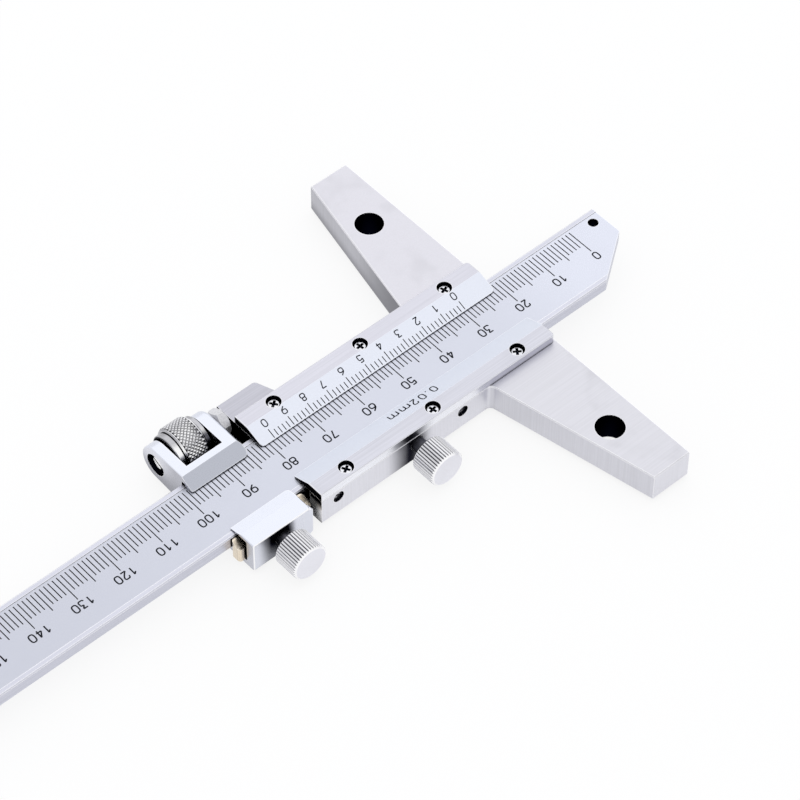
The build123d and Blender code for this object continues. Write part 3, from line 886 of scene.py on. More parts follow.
@dataclass
class Engraver:
    """Ink filled lines and lettering on one plane of the gauge.

    The letters read towards -X with their tops towards -Y, as on the real scales.
    """

    foot: Point
    tilt: float = 0.0
    line_width: float = 0.228
    proud: float = 0.006
    depth: float = 0.03
    dish: float = 0.03
    letter_height: float = 1.81
    letter_width: float = 1.12
    letter_pitch: float = 1.67
    stroke_width: float = 0.29
    stroke_rise: float = 0.012
    curve_order: int = 3
    curve_steps: int = 3
    lines: list[bpy.types.Object] = field(default_factory=list)
    letters: list[bpy.types.Object] = field(default_factory=list)
    models: dict[str, bpy.types.Object] = field(default_factory=dict)

    def on_plane(self, x: float, along: float) -> Matrix:
        """Placement on the tilted plane.

        Args:
            x: Place along the beam.
            along: Distance up the plane from its foot, towards +Y where there is no tilt.

        Returns:
            The matrix that puts a model made at the origin there.
        """
        origin = Matrix.Translation(Vector(self.foot) * MM)
        slope = Matrix.Rotation(self.tilt, 4, "X")
        return origin @ slope @ Matrix.Translation(Vector((x, along, 0)) * MM)

    def line_model(self, length: float) -> bpy.types.Object:
        """Models one line at the origin, its ink dished between its edges.

        Args:
            length: Length of the line.

        Returns:
            The line.
        """
        thick = self.proud + self.depth
        size = (self.line_width * MM, length * MM, thick * MM)
        mark = Workshop.block(size, (0, 0, (self.proud - self.depth) / 2 * MM))
        Workshop.open(mark)
        top = self.proud * MM
        Workshop.pick("FACE", lambda place: place.z > top - WELD)
        bpy.ops.mesh.inset(thickness=self.dish * MM, depth=-self.proud * MM / 2)
        Workshop.close()
        return mark

    def add_lines(self, length: float, places: Iterable[tuple[float, float]]) -> None:
        """Copies one line to every place.

        Args:
            length: Length of the line.
            places: Middle of each line on the plane.
        """
        model = self.line_model(length)
        for x, along in places:
            self.lines.append(Workshop.copied(model, self.on_plane(x, along)))
        Workshop.discard(model)

    def letter_model(self, letter: str) -> bpy.types.Object:
        """Models one letter about the origin as flattened round strokes.

        Args:
            letter: One of the keys of LETTERS.

        Returns:
            The letter as a mesh.
        """
        Workshop.clear()
        bpy.ops.curve.primitive_nurbs_path_add()
        model = bpy.context.object
        data = model.data
        data.splines.clear()
        data.bevel_depth = self.stroke_width / 2 * MM
        data.bevel_resolution = 1
        data.use_fill_caps = True
        runs = [run for stroke in LETTERS[letter] for run in stroke.runs()]
        for stroke in runs:
            spline = data.splines.new("NURBS" if stroke.curved else "POLY")
            spline.points.add(len(stroke.points) - 1)
            for point, (x, y) in zip(spline.points, stroke.points):
                wide = x * self.letter_width * MM
                point.co = (wide, (y - 0.5) * self.letter_height * MM, 0, 1)
            spline.use_cyclic_u = stroke.closed
            if stroke.curved:
                spline.use_endpoint_u = not stroke.closed
                spline.order_u = self.curve_order
                spline.resolution_u = self.curve_steps
        Workshop.take(model)
        bpy.ops.object.convert(target="MESH")
        model = bpy.context.object
        Workshop.open(model)
        Workshop.close()
        flat = 2 * self.stroke_rise / self.stroke_width
        model.data.transform(Matrix.Diagonal((1, 1, flat, 1)))
        return model

    def add_words(self, entries: Iterable[tuple[str, float, float]]) -> None:
        """Puts words on the plane.

        Args:
            entries: Text and the middle of each word on the plane.
        """
        half_turn = Matrix.Rotation(pi, 4, "Z")
        for text, x, along in entries:
            for count, letter in enumerate(text):
                if letter not in self.models:
                    self.models[letter] = self.letter_model(letter)
                place = x + ((len(text) - 1) / 2 - count) * self.letter_pitch
                matrix = self.on_plane(place, along) @ half_turn
                self.letters.append(Workshop.copied(self.models[letter], matrix))

    def finish(self, name: str, body: str, slot: str) -> None:
        """Joins the lines and the letters and dresses them.

        Args:
            name: Start of the names of both pieces.
            body: Body that they ride on.
            slot: Slot of the record for them, handed on to the dresser.
        """
        Workshop.discard(*self.models.values())
        for parts, ending in ((self.lines, "lines"), (self.letters, "numbers")):
            if parts:
                piece = Workshop.joined(parts, f"{name}_{ending}")
                Dresser.piece(piece, body, slot, InkFinish(f"{name}_{ending}_ink"))


@dataclass
class Beam:
    """Graduated beam: the CAD node with its scale lines and numbers."""

    zero: float = 21.42
    marks: int = 150
    face: float = 3.20
    foot: float = 6.27
    short: float = 4.4
    middle: float = 5.5
    long: float = 6.55
    number_row: float = -1.78
    number_stroke: float = 0.31
    between_rails: Limit = Limit(Measure.FROM_MIDDLE, 6.88, 6.86)
    below_rails: Limit = Limit(Measure.PLACE_Z, 3.0, 3.1)
    tip_fade: Limit = Limit(Measure.PLACE_X, -8.0, 18.0)
    rear_fade: Limit = Limit(Measure.PLACE_X, -45.0, -125.0)
    hole: Point = (26.99, 5.08, 0.0)
    hole_radius: float = 1.1

    def dress(self) -> None:
        """Gives the rails a ground finish and the sunk face a satin one, painted lighter towards
        the tip and darker towards the rear.
        """
        sunk = (self.between_rails, self.below_rails)
        patches = (
            patch(SCALE_MIDDLE, *sunk),
            patch(SCALE_TIP_LIT, *sunk, self.tip_fade),
            patch(SCALE_REAR_SHADE, *sunk, self.rear_fade),
            bores(Measure.FROM_AXIS_Z, self.hole_radius, (self.hole,)),
        )
        Dresser.node("beam", MetalFinish("beam_metal", RAIL, patches))

    def engrave(self) -> None:
        """Cuts the lines of the scale and its numbers every ten millimetres."""
        engraver = Engraver((0, 0, self.face), stroke_width=self.number_stroke)
        rows: dict[float, list[tuple[float, float]]] = {}
        for count in range(self.marks + 1):
            length = self.long if count % 10 == 0 else self.middle if count % 5 == 0 else self.short
            place = (self.zero - count, self.foot - length / 2)
            rows.setdefault(length, []).append(place)
        for length, places in rows.items():
            engraver.add_lines(length, places)
        numbers = range(0, self.marks + 1, 10)
        engraver.add_words((str(n), self.zero - n, self.number_row) for n in numbers)
        engraver.finish("scale", "beam", "satin_scale")


@dataclass
class Plates:
    """Vernier plate and cover plate with their engraving and screws."""

    top: float = 5.30
    lip_height: float = 3.52
    vernier_lip: float = 4.55
    cover_lip: float = 4.73
    seam: float = 9.20
    first_mark: float = -8.0
    mark_pitch: float = 0.98
    marks: int = 50
    mark_start: float = 0.2
    short: float = 1.5
    long: float = 2.05
    digit_row: float = 3.68
    digit_start: float = -8.2
    digit_pitch: float = 4.86
    digit_height: float = 1.53
    digit_width: float = 0.98
    digit_stroke: float = 0.235
    line_width: float = 0.192
    reading_row: float = 2.15
    reading_mark: tuple[tuple[str, float], ...] = (
        ("0", -26.62),
        (".", -28.11),
        ("0", -29.55),
        ("2", -31.55),
        ("m", -33.85),
        ("m", -36.77),
    )
    screw_row: float = 10.6
    pocket_radius: float = 1.55
    side_fade: Limit = Limit(Measure.PLACE_X, -22.0, -16.0)
    seam_blur: float = 0.02
    shade: Shade = Shade(5.0, 0.1, 0.52)
    screw_places: tuple[float, ...] = (-8.3, -30.3, -52.3)
    screw_seat: float = 3.95
    screw_height: float = 0.65
    screw_radius: float = 1.22
    screw_dome: float = 0.22
    screw_sides: int = 56
    dome_steps: int = 5
    dome_form: float = 0.6
    shank_radius: float = 0.8
    shank_tip: float = 0.75
    cross_length: float = 2.04
    cross_width: float = 0.64
    cross_depth: float = 0.5
    cross_taper: tuple[float, float] = (0.75, 0.8)
    dark_rim: float = 0.12
    dark_blur: float = 0.06
    smooth_angle: float = 0.6
    screw_turns: tuple[tuple[str, int, tuple[float, ...]], ...] = (
        ("vernier", 1, (0.30, 0.12, 0.62)),
        ("cover", -1, (0.95, 0.22, 0.55)),
    )

    def dress(self) -> None:
        """Gives both plates a satin bevel, a ground flat and bright side walls, with painted shade
        on walls towards the front and behind the lock screw, and painted black on rear end faces
        and screw pockets.
        """
        looks = (
            ("vernier_plate", VERNIER_BEVEL, VERNIER_FLAT, self.screw_row),
            ("cover_plate", COVER_BEVEL, COVER_FLAT, -self.screw_row),
        )
        inner, outer = self.seam - self.seam_blur, self.seam + self.seam_blur
        strip = Limit(Measure.FROM_MIDDLE, inner, outer)
        for name, bevel, flat, row in looks:
            pockets = tuple((x, row, 0.0) for x in self.screw_places)
            patches = (
                patch(flat, strip),
                patch(PLATE_SIDE, UPRIGHT),
                patch(SHADED_SIDE, UPRIGHT, self.side_fade),
                patch(SCREW_SHADE, UPRIGHT, NEAR_WALL, *LOCK_SHADE),
                patch(WALL_SHADE_BLACK, REARWARD),
                bores(Measure.FROM_AXIS_Z, self.pocket_radius, pockets),
            )
            Dresser.node(name, MetalFinish(f"{name}_metal", bevel, patches, shade=self.shade))

    def engrave(self) -> None:
        """Cuts the vernier scale and the reading mark of the cover plate."""
        rise = self.top - self.lip_height
        tilt = atan2(rise, self.seam - self.vernier_lip)
        vernier = Engraver(
            (0, self.vernier_lip, self.lip_height),
            tilt,
            letter_height=self.digit_height,
            line_width=self.line_width,
            letter_width=self.digit_width,
            stroke_width=self.digit_stroke,
        )
        for length, wanted in ((self.long, True), (self.short, False)):
            middle = self.mark_start + length / 2
            counts = [n for n in range(self.marks + 1) if (n % 5 == 0) is wanted]
            places = [(self.first_mark - n * self.mark_pitch, middle) for n in counts]
            vernier.add_lines(length, places)
        digits = []
        for count in range(self.marks // 5 + 1):
            x = self.digit_start - count * self.digit_pitch
            digits.append((str(count % 10), x, self.digit_row))
        vernier.add_words(digits)
        vernier.finish("vernier", "slider", "satin_plate")
        slope = -atan2(rise, self.seam - self.cover_lip)
        cover = Engraver((0, -self.cover_lip, self.lip_height), slope)
        cover.add_words((letter, x, -self.reading_row) for letter, x in self.reading_mark)
        cover.finish("reading", "slider", "satin_plate")

    def screw_model(self) -> bpy.types.Object:
        """Models one domed screw with a tapered cross recess, upright at the origin.

        Returns:
            The screw.
        """
        Workshop.clear()
        seat = self.screw_seat * MM
        top = (self.screw_seat + self.screw_height) * MM
        bpy.ops.mesh.primitive_cylinder_add(
            vertices=self.screw_sides,
            radius=self.screw_radius * MM,
            depth=self.screw_height * MM,
            location=(0, 0, (seat + top) / 2),
        )
        screw = bpy.context.object
        Workshop.settle(screw)
        Workshop.open(screw)
        Workshop.pick("FACE", lambda place: place.z > top - WELD)
        dome = self.screw_dome * MM
        bpy.ops.mesh.bevel(offset=dome, segments=self.dome_steps, profile=self.dome_form)
        Workshop.pick("FACE", lambda place: place.z < seat + WELD)
        bpy.ops.mesh.inset(thickness=(self.screw_radius - self.shank_radius) * MM)
        shank = (self.shank_tip - self.screw_seat) * MM
        bpy.ops.mesh.extrude_region_move(TRANSFORM_OT_translate={"value": (0, 0, shank)})
        Workshop.close()
        for turn in (0.0, QUARTER_TURN):
            Workshop.cut(screw, self.blade_model(top, turn))
        Workshop.smooth(screw, self.smooth_angle)
        return screw

    def blade_model(self, top: float, turn: float) -> bpy.types.Object:
        """Models one blade of the cross that is cut into a screw head.

        Args:
            top: Height of the top of the head in metres.
            turn: Turn about Z.

        Returns:
            A block that narrows towards its lower end.
        """
        depth = self.cross_depth * MM
        size = (self.cross_length * MM, self.cross_width * MM, 2 * depth)
        blade = Workshop.block(size, (0, 0, top))
        Workshop.open(blade)
        Workshop.pick("FACE", lambda place: place.z < top - depth + WELD)
        taper = (*self.cross_taper, 1)
        bpy.ops.transform.resize(value=taper, center_override=(0, 0, top))
        Workshop.close()
        blade.data.transform(Matrix.Rotation(turn, 4, "Z"))
        return blade

    def screws(self) -> None:
        """Puts a screw, each turned to its own angle, in every pocket."""
        # Painted shade: the head is black below its dome's rim, inside the cross and round its
        # sides.
        rim = self.screw_seat + self.screw_height - self.dark_rim
        finish = MetalFinish(
            "plate_screw_metal",
            PLATE_SCREW,
            (patch(HOLE_SHADE_BLACK, Limit(Measure.PLACE_Z, rim, rim - self.dark_blur)),),
            edge_radius=0.05,
            crevice=Shade(0.5, 0.2, 0.5),
            shade=Shade(5.0, 0.0, 0.2),
        )
        model = self.screw_model()
        for plate, side, turns in self.screw_turns:
            for end, x, turn in zip(("front", "middle", "rear"), self.screw_places, turns):
                place = Matrix.Translation((x * MM, side * self.screw_row * MM, 0))
                screw = Workshop.copied(model, place @ Matrix.Rotation(turn, 4, "Z"))
                screw.name = f"{plate}_plate_screw_{end}"
                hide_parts(f"{plate}_screw_{end}")
                Dresser.piece(screw, "slider", "screw_steel", finish)
        Workshop.discard(model)


@dataclass
class Slider:
    """Crosspiece and slider in one, with the gib and its screws."""

    wall: float = 12.75
    lug_front: float = -48.0
    lug_blur: float = 1.0
    arm_blur: float = 0.1
    right_arm: Limit = Limit(Measure.PLACE_Y, 1.0, -1.0)
    near_side: Limit = Limit(Measure.PLACE_Y, -7.5, -8.0)
    turned_back: Limit = Limit(Measure.FACING_X, -0.5, -0.8)
    root_fade: Limit = Limit(Measure.PLACE_Y, 35.0, 15.0)
    foot_fade: Limit = Limit(Measure.PLACE_Z, 0.5, -4.5)
    behind_root: Limit = Limit(Measure.PLACE_X, -40.0, -41.0)
    rear_end: Limit = Limit(Measure.PLACE_X, -59.9, -60.1)
    end_fade: Limit = Limit(Measure.PLACE_Z, 0.0, 2.4)
    end_lug: Limit = Limit(Measure.PLACE_Y, 6.5, 7.5)
    base_holes: tuple[Point, ...] = ((-7.05, 34.5, 0.0), (-7.05, -35.5, 0.0))
    base_hole_radius: float = 3.0
    set_screws: tuple[Point, ...] = ((-24.4, 0.0, WORK_HEIGHT), (-56.0, 0.0, WORK_HEIGHT))
    set_screw_radius: float = 1.27
    lock_screw: tuple[Point, ...] = (LOCK_AXIS,)
    lock_radius: float = 1.55
    gib_screws: tuple[str, ...] = ("gib_screw_front", "gib_screw_rear")
    gib_screw_radius: float = 1.25
    gib_screw_outer: float = -12.25
    gib_screw_inner: float = -9.25
    gib_screw_rim: float = 0.12
    gib_screw_sides: int = 48
    gib_rim_steps: int = 2
    gib_slot_width: float = 0.42
    gib_slot_depth: float = 0.6
    gib_slot_turns: tuple[float, ...] = (-0.25, 0.5)
    smooth_angle: float = 0.6

    def dress(self) -> None:
        """Gives the crosspiece a ground finish with upright marks on its walls, and painted light
        and shade on its walls, rear end and holes.
        """
        left_arm = Limit(Measure.PLACE_Y, self.wall - self.arm_blur, self.wall + self.arm_blur)
        lug = Limit(Measure.PLACE_X, self.lug_front + self.lug_blur, self.lug_front)
        left_wall = (UPRIGHT, self.turned_back, left_arm)
        end_wall = (self.turned_back, self.rear_end)
        patches = (
            patch(RIGHT_ARM_TOP, self.right_arm),
            patch(LUG_TOP, left_arm, lug),
            patch(BRIGHT_WALL, UPRIGHT),
            # Painted light on the walls facing -Y.
            patch(SIDE_WALL, UPRIGHT, OUTWARD),
            # Painted shade on the rear-facing walls by the left arm, darkest towards the root and
            # the foot, black on the lug's rear face.
            patch(SHADED_WALL, *left_wall),
            patch(SHADED_WALL_ROOT, *left_wall, self.root_fade),
            patch(SHADED_WALL_FOOT, *left_wall, self.foot_fade),
            patch(WALL_SHADE_BLACK, *left_wall, self.behind_root),
            patch(SCREW_SHADE, UPRIGHT, OUTWARD, NEAR_WALL, *LOCK_SHADE),
            # Rear end face: painted light low down, painted black towards its top and beside the
            # lug.
            patch(END_WALL, *end_wall),
            patch(WALL_SHADE_BLACK, *end_wall, self.end_fade),
            patch(WALL_SHADE_BLACK, *end_wall, self.end_lug),
            bores(Measure.FROM_AXIS_Z, self.base_hole_radius, self.base_holes),
            bores(Measure.FROM_AXIS_Y, self.set_screw_radius, self.set_screws, self.near_side),
            bores(Measure.FROM_AXIS_Y, self.lock_radius, self.lock_screw, self.near_side),
        )
        Dresser.node("slider_base", MetalFinish("crosspiece_metal", ARM_TOP, patches))
        Dresser.node("gib", MetalFinish("gib_metal", GIB_BRONZE))

    def set_screw(self, turn: float) -> bpy.types.Object:
        """Models a headless set screw on the line of the screws.

        Args:
            turn: Turn of its slot about its axis.

        Returns:
            The screw.
        """
        Workshop.clear()
        outer, inner = self.gib_screw_outer * MM, self.gib_screw_inner * MM
        height = WORK_HEIGHT * MM
        bpy.ops.mesh.primitive_cylinder_add(
            vertices=self.gib_screw_sides,
            radius=self.gib_screw_radius * MM,
            depth=inner - outer,
            location=(0, (outer + inner) / 2, height),
            rotation=(QUARTER_TURN, 0, 0),
        )
        screw = bpy.context.object
        Workshop.settle(screw)
        Workshop.open(screw)
        Workshop.pick("FACE", lambda place: place.y < outer + WELD)
        bpy.ops.mesh.bevel(offset=self.gib_screw_rim * MM, segments=self.gib_rim_steps)
        Workshop.close()
        long, deep = 4 * self.gib_screw_radius * MM, 2 * self.gib_slot_depth * MM
        size = (long, deep, self.gib_slot_width * MM)
        Workshop.cut(screw, Workshop.block(size, (0, outer, height), (0, turn, 0)))
        Workshop.smooth(screw, self.smooth_angle)
        return screw

    def screws(self) -> None:
        """Puts a slotted set screw in both threaded holes."""
        for name, centre, turn in zip(self.gib_screws, self.set_screws, self.gib_slot_turns):
            screw = self.set_screw(turn)
            screw.data.transform(Matrix.Translation((centre[0] * MM, 0, 0)))
            screw.name = f"{name}_slotted"
            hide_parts(name)
            finish = MetalFinish(
                f"{name}_metal",
                SET_SCREW,
                edge_radius=0.12,
                crevice=Shade(0.3, 0.15, 0.45),
                shade=Shade(1.5, 0.0, 0.1),
            )
            Dresser.piece(screw, "slider", "screw_steel", finish)


@dataclass
class FineAdjustment:
    """Carriage, bronze leaf, threaded rod, lock nut and knurled nut."""

    axis_y: float = 16.07
    axis_z: float = WORK_HEIGHT
    nut_rear: float = -74.3
    nut_length: float = 8.0
    knurl_rear: float = -72.8
    knurl_front: float = -67.5
    knurl_radius: float = 5.3
    knurl_depth: float = 0.22
    step_radius: float = 4.85
    groove_radius: float = 4.35
    groove_width: float = 0.2
    collar_radius: float = 4.55
    collar_chamfer: float = 0.3
    bevel: float = 0.28
    bore_radius: float = 1.55
    bore_reach: float = 1.05
    knurl_around: int = 72
    knurl_along: int = 11
    rod_front: float = -52.25
    rod_rear: float = -77.0
    rod_radius: float = 1.5
    thread_pitch: float = 0.5
    thread_depth: float = 0.27
    rod_chamfer: float = 0.4
    rod_spare: float = 1.0
    thread_steps: int = 20
    slot_width: float = 0.5
    slot_depth: float = 0.7
    slot_turn: float = 0.5
    nut_smooth: float = 0.35
    rod_smooth: float = 0.5
    bore: float = 2.5
    clamp_shade: tuple[Limit, Limit] = neck_shade(-76.4, (-72.75, -68.95), -66.55)
    rear_turn: Limit = Limit(Measure.FACING_Y, 0.1, 0.8)
    front_turn: Limit = Limit(Measure.FACING_Y, -0.15, -0.55)
    rear_face: Limit = Limit(Measure.FACING_X, -0.3, -0.5)
    pit_margin: tuple[float, float] = (0.05, 0.15)
    pit_share: float = 0.36
    collar_margin: tuple[float, float] = (0.1, 0.05)
    groove_margin: float = 0.06
    bore_depth: tuple[float, float] = (3.0, 2.0)
    knurl_shade: tuple[Limit, Limit] = (
        Limit(Measure.PLACE_X, -69.6, -67.9),
        Limit(Measure.FACING_Y, -0.3, -0.65),
    )
    rod_end: Limit = Limit(Measure.FACING_X, -0.4, -0.6)
    clamp_side: Limit = Limit(Measure.PLACE_Y, -8.0, -9.0)
    low_fade: Limit = Limit(Measure.PLACE_Z, -9.0, 2.5)
    walls: Limit = Limit(Measure.UPRIGHT, 0.6, 0.9)
    turned_out: Limit = Limit(Measure.FACING_Y, -0.2, -0.35)
    lips: tuple[Limit, ...] = (
        Limit(Measure.FACING_Z, 0.2, 0.35),
        Limit(Measure.FACING_X, 0.2, 0.35),
        Limit(Measure.FACING_X, -0.2, -0.35),
    )
    bevel_turns: tuple[Limit, Limit] = (
        Limit(Measure.FACING_Y, -0.35, -0.45),
        Limit(Measure.FACING_Z, 0.5, 0.7),
    )
    rear_wall: tuple[Limit, ...] = (
        REARWARD,
        Limit(Measure.PLACE_X, -77.0, -77.1),
        Limit(Measure.PLACE_Y, 6.0, 7.0),
    )
    inner_fade: Limit = Limit(Measure.PLACE_Y, 15.5, 9.5)
    foot_fade: Limit = Limit(Measure.PLACE_Z, 4.0, -2.5)

    @property
    def rod_line(self) -> tuple[Point, ...]:
        """A point on the axis of the rod, as a limit takes it."""
        return ((0.0, self.axis_y, self.axis_z),)

    def axis_point(self, x: float) -> Vector:
        """Point on the axis of the rod, in metres."""
        return Vector((x, self.axis_y, self.axis_z)) * MM

    def off_axis(self, place: Vector) -> float:
        """Distance of a point from the axis, in metres."""
        return hypot(place.y - self.axis_y * MM, place.z - self.axis_z * MM)

    def around_rod(self, low: float, high: float) -> Limit:
        """Limit on the distance from the axis of the rod."""
        return Limit(Measure.FROM_AXIS_X, low, high, self.rod_line)

    def grow(self, x: float, ratio: float, centre: Vector) -> None:
        """Extrudes the selected edges along X and scales the new ring about the axis.

        Args:
            x: How far it moves, in metres.
            ratio: New radius over the old one.
            centre: A point on the axis.
        """
        bpy.ops.mesh.extrude_region_move(TRANSFORM_OT_translate={"value": (x, 0, 0)})
        bpy.ops.transform.resize(value=(1, ratio, ratio), center_override=centre)

    def drum_ends(self) -> tuple[float, float]:
        """Places where the knurl starts and ends, inside the bevels of the drum."""
        return self.knurl_rear + self.bevel, self.knurl_front - self.bevel

    def knurled_drum(self) -> bpy.types.Object:
        """Models the open drum of the adjusting nut, its surface raised in diamond points.

        Returns:
            The drum, still open.
        """
        Workshop.clear()
        start, end = self.drum_ends()
        cell = (end - start) / self.knurl_along
        bpy.ops.mesh.primitive_cylinder_add(
            vertices=self.knurl_around,
            radius=self.knurl_radius * MM,
            depth=cell * MM,
            end_fill_type="NOTHING",
            location=self.axis_point(start + cell / 2),
            rotation=(0, QUARTER_TURN, 0),
        )
        drum = bpy.context.object
        Workshop.settle(drum)
        Workshop.apply_modifier(
            drum,
            "ARRAY",
            count=self.knurl_along,
            relative_offset_displace=(1, 0, 0),
            use_merge_vertices=True,
            merge_threshold=WELD,
        )
        Workshop.open(drum)
        Workshop.pick("VERT", self.is_valley)
        sunk = 1 - self.knurl_depth / self.knurl_radius
        centre = self.axis_point(start)
        bpy.ops.transform.resize(value=(1, sunk, sunk), center_override=centre)
        bpy.ops.mesh.select_all(action="SELECT")
        bpy.ops.mesh.quads_convert_to_tris(quad_method="SHORTEST_DIAGONAL")
        return drum

    def nut(self) -> None:
        """Models the adjusting nut: the drum, and a groove and a plain collar at either end."""
        nut = self.knurled_drum()
        nut.name = "adjusting_nut_knurled"
        start, end = self.drum_ends()
        centre = self.axis_point(start)
        nut_front = self.nut_rear + self.nut_length
        for edge, way, last in ((start, -1.0, self.nut_rear), (end, 1.0, nut_front)):
            Workshop.pick("EDGE", lambda place, x=edge: abs(place.x - x * MM) < WELD)
            groove = edge + way * (self.bevel + self.groove_width)
            chamfer = last - way * self.collar_chamfer
            rings = (
                (edge, self.knurl_radius - self.knurl_depth),
                (edge + way * self.bevel, self.step_radius),
                (edge + way * self.bevel, self.groove_radius),
                (groove, self.groove_radius),
                (groove, self.collar_radius),
                (chamfer, self.collar_radius),
                (last, self.collar_radius - self.collar_chamfer),
                (last, self.bore_radius),
            )
            for (x, radius), (next_x, next_radius) in zip(rings, rings[1:]):
                self.grow((next_x - x) * MM, next_radius / radius, centre)
        within = self.bore_reach * self.bore_radius * MM
        Workshop.pick("VERT", lambda place: self.off_axis(place) < within)
        bpy.ops.mesh.select_mode(type="EDGE")
        bpy.ops.mesh.bridge_edge_loops()
        Workshop.close()
        Workshop.smooth(nut, self.nut_smooth)
        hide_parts("adjusting_nut")
        Dresser.piece(nut, "adjusting_nut", "bright_knurl", self.nut_finish())

    def nut_finish(self) -> MetalFinish:
        """Gives the nut bright points with painted black pits and groove, and greyer collars, with
        a painted highlight facing -Y and painted shade facing +Y, on its rear faces and at the
        front of its -Y side.

        Returns:
            The finish of the nut.
        """
        start, end = self.drum_ends()
        valley = self.knurl_radius - self.knurl_depth
        bare, black = self.pit_margin
        pits = (
            Limit(Measure.PLACE_X, start + bare, start + black),
            Limit(Measure.PLACE_X, end - bare, end - black),
            self.around_rod(valley + self.pit_share * self.knurl_depth, valley),
        )
        outside, inside = (self.collar_radius + margin for margin in self.collar_margin)
        groove = self.around_rod(self.groove_radius + self.groove_margin, self.groove_radius)
        patches = (
            patch(NUT_COLLAR, self.around_rod(outside, inside)),
            patch(NUT_REAR_FACE_SHADE, self.rear_face),
            patch(KNURL_REAR_SHADE, self.rear_turn),
            patch(KNURL_FRONT_HIGHLIGHT, self.front_turn),
            patch(KNURL_SHADED, *self.knurl_shade),
            patch(HOLE_SHADE_BLACK, *pits),
            patch(HOLE_SHADE_BLACK, groove),
        )
        return MetalFinish(
            "knurled_nut_metal",
            KNURL,
            patches,
            edge_radius=0.05,
            edge_strength=0.6,
            crevice=Shade(0.4, 0.15, 0.5),
            shade=Shade(3.0, 0.24, 0.50),
        )

    def is_valley(self, place: Vector) -> bool:
        """Tells a low point of the knurl, which is every other one and all at its ends.

        Args:
            place: A point of the drum, in metres.

        Returns:
            True at a low point.
        """
        start, end = self.drum_ends()
        row = round((place.x / MM - start) / (end - start) * self.knurl_along)
        if row in (0, self.knurl_along):
            return True
        angle = atan2(place.z - self.axis_z * MM, place.y - self.axis_y * MM)
        step = round(angle / TURN * self.knurl_around)
        return (row + step) % 2 == 0

    def rod(self) -> None:
        """Models the threaded rod with a screwdriver slot in its free end."""
        Workshop.clear()
        pitch = self.thread_pitch * MM
        start = self.rod_rear - self.rod_spare
        root = self.rod_radius - self.thread_depth
        bpy.ops.mesh.primitive_plane_add(size=pitch)
        rod = bpy.context.object
        rod.name = "adjusting_rod_threaded"
        Workshop.open(rod)
        Workshop.pick("VERT", lambda place: place.y < 0)
        bpy.ops.mesh.delete(type="VERT")
        Workshop.pick("EDGE", lambda place: True)
        bpy.ops.mesh.subdivide(number_cuts=1)
        bpy.ops.mesh.select_all(action="SELECT")
        up = root * MM - pitch / 2
        bpy.ops.transform.translate(value=(pitch / 2, up, 0))
        Workshop.pick("VERT", lambda place: abs(place.x - pitch / 2) < WELD)
        bpy.ops.transform.translate(value=(0, self.thread_depth * MM, 0))
        bpy.ops.object.mode_set(mode="OBJECT")
        turns = int((self.rod_front - start) / self.thread_pitch) + 2
        Workshop.apply_modifier(
            rod,
            "SCREW",
            axis="X",
            angle=TURN,
            screw_offset=pitch,
            iterations=turns,
            steps=self.thread_steps,
            render_steps=self.thread_steps,
            use_merge_vertices=True,
            merge_threshold=WELD,
        )
        rod.data.transform(Matrix.Translation(self.axis_point(start)))
        cut = self.rod_rear + self.rod_chamfer
        Workshop.open(rod)
        for x, side in ((cut, -1), (self.rod_front, 1)):
            bpy.ops.mesh.select_all(action="SELECT")
            bpy.ops.mesh.bisect(
                plane_co=self.axis_point(x),
                plane_no=(side, 0, 0),
                use_fill=True,
                clear_outer=True,
            )
        Workshop.pick("FACE", lambda place: abs(place.x - cut * MM) < WELD)
        ratio = (self.rod_radius - self.rod_chamfer) / self.rod_radius
        self.grow(-self.rod_chamfer * MM, ratio, self.axis_point(cut))
        Workshop.close()
        long, deep = 4 * self.rod_radius * MM, 2 * self.slot_depth * MM
        size = (deep, long, self.slot_width * MM)
        place = self.axis_point(self.rod_rear)
        Workshop.cut(rod, Workshop.block(size, place, (self.slot_turn, 0, 0)))
        Workshop.smooth(rod, self.rod_smooth)
        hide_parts("adjusting_rod")
        # Painted highlight on the rod's rear end face.
        finish = MetalFinish(
            "threaded_rod_metal",
            THREAD,
            (patch(EDGE_HIGHLIGHT, self.rod_end),),
            edge_radius=0.05,
            crevice=Shade(0.5, 0.2, 0.5),
            shade=Shade(1.5, 0.1, 0.35),
        )
        Dresser.piece(rod, "slider", "screw_steel", finish)

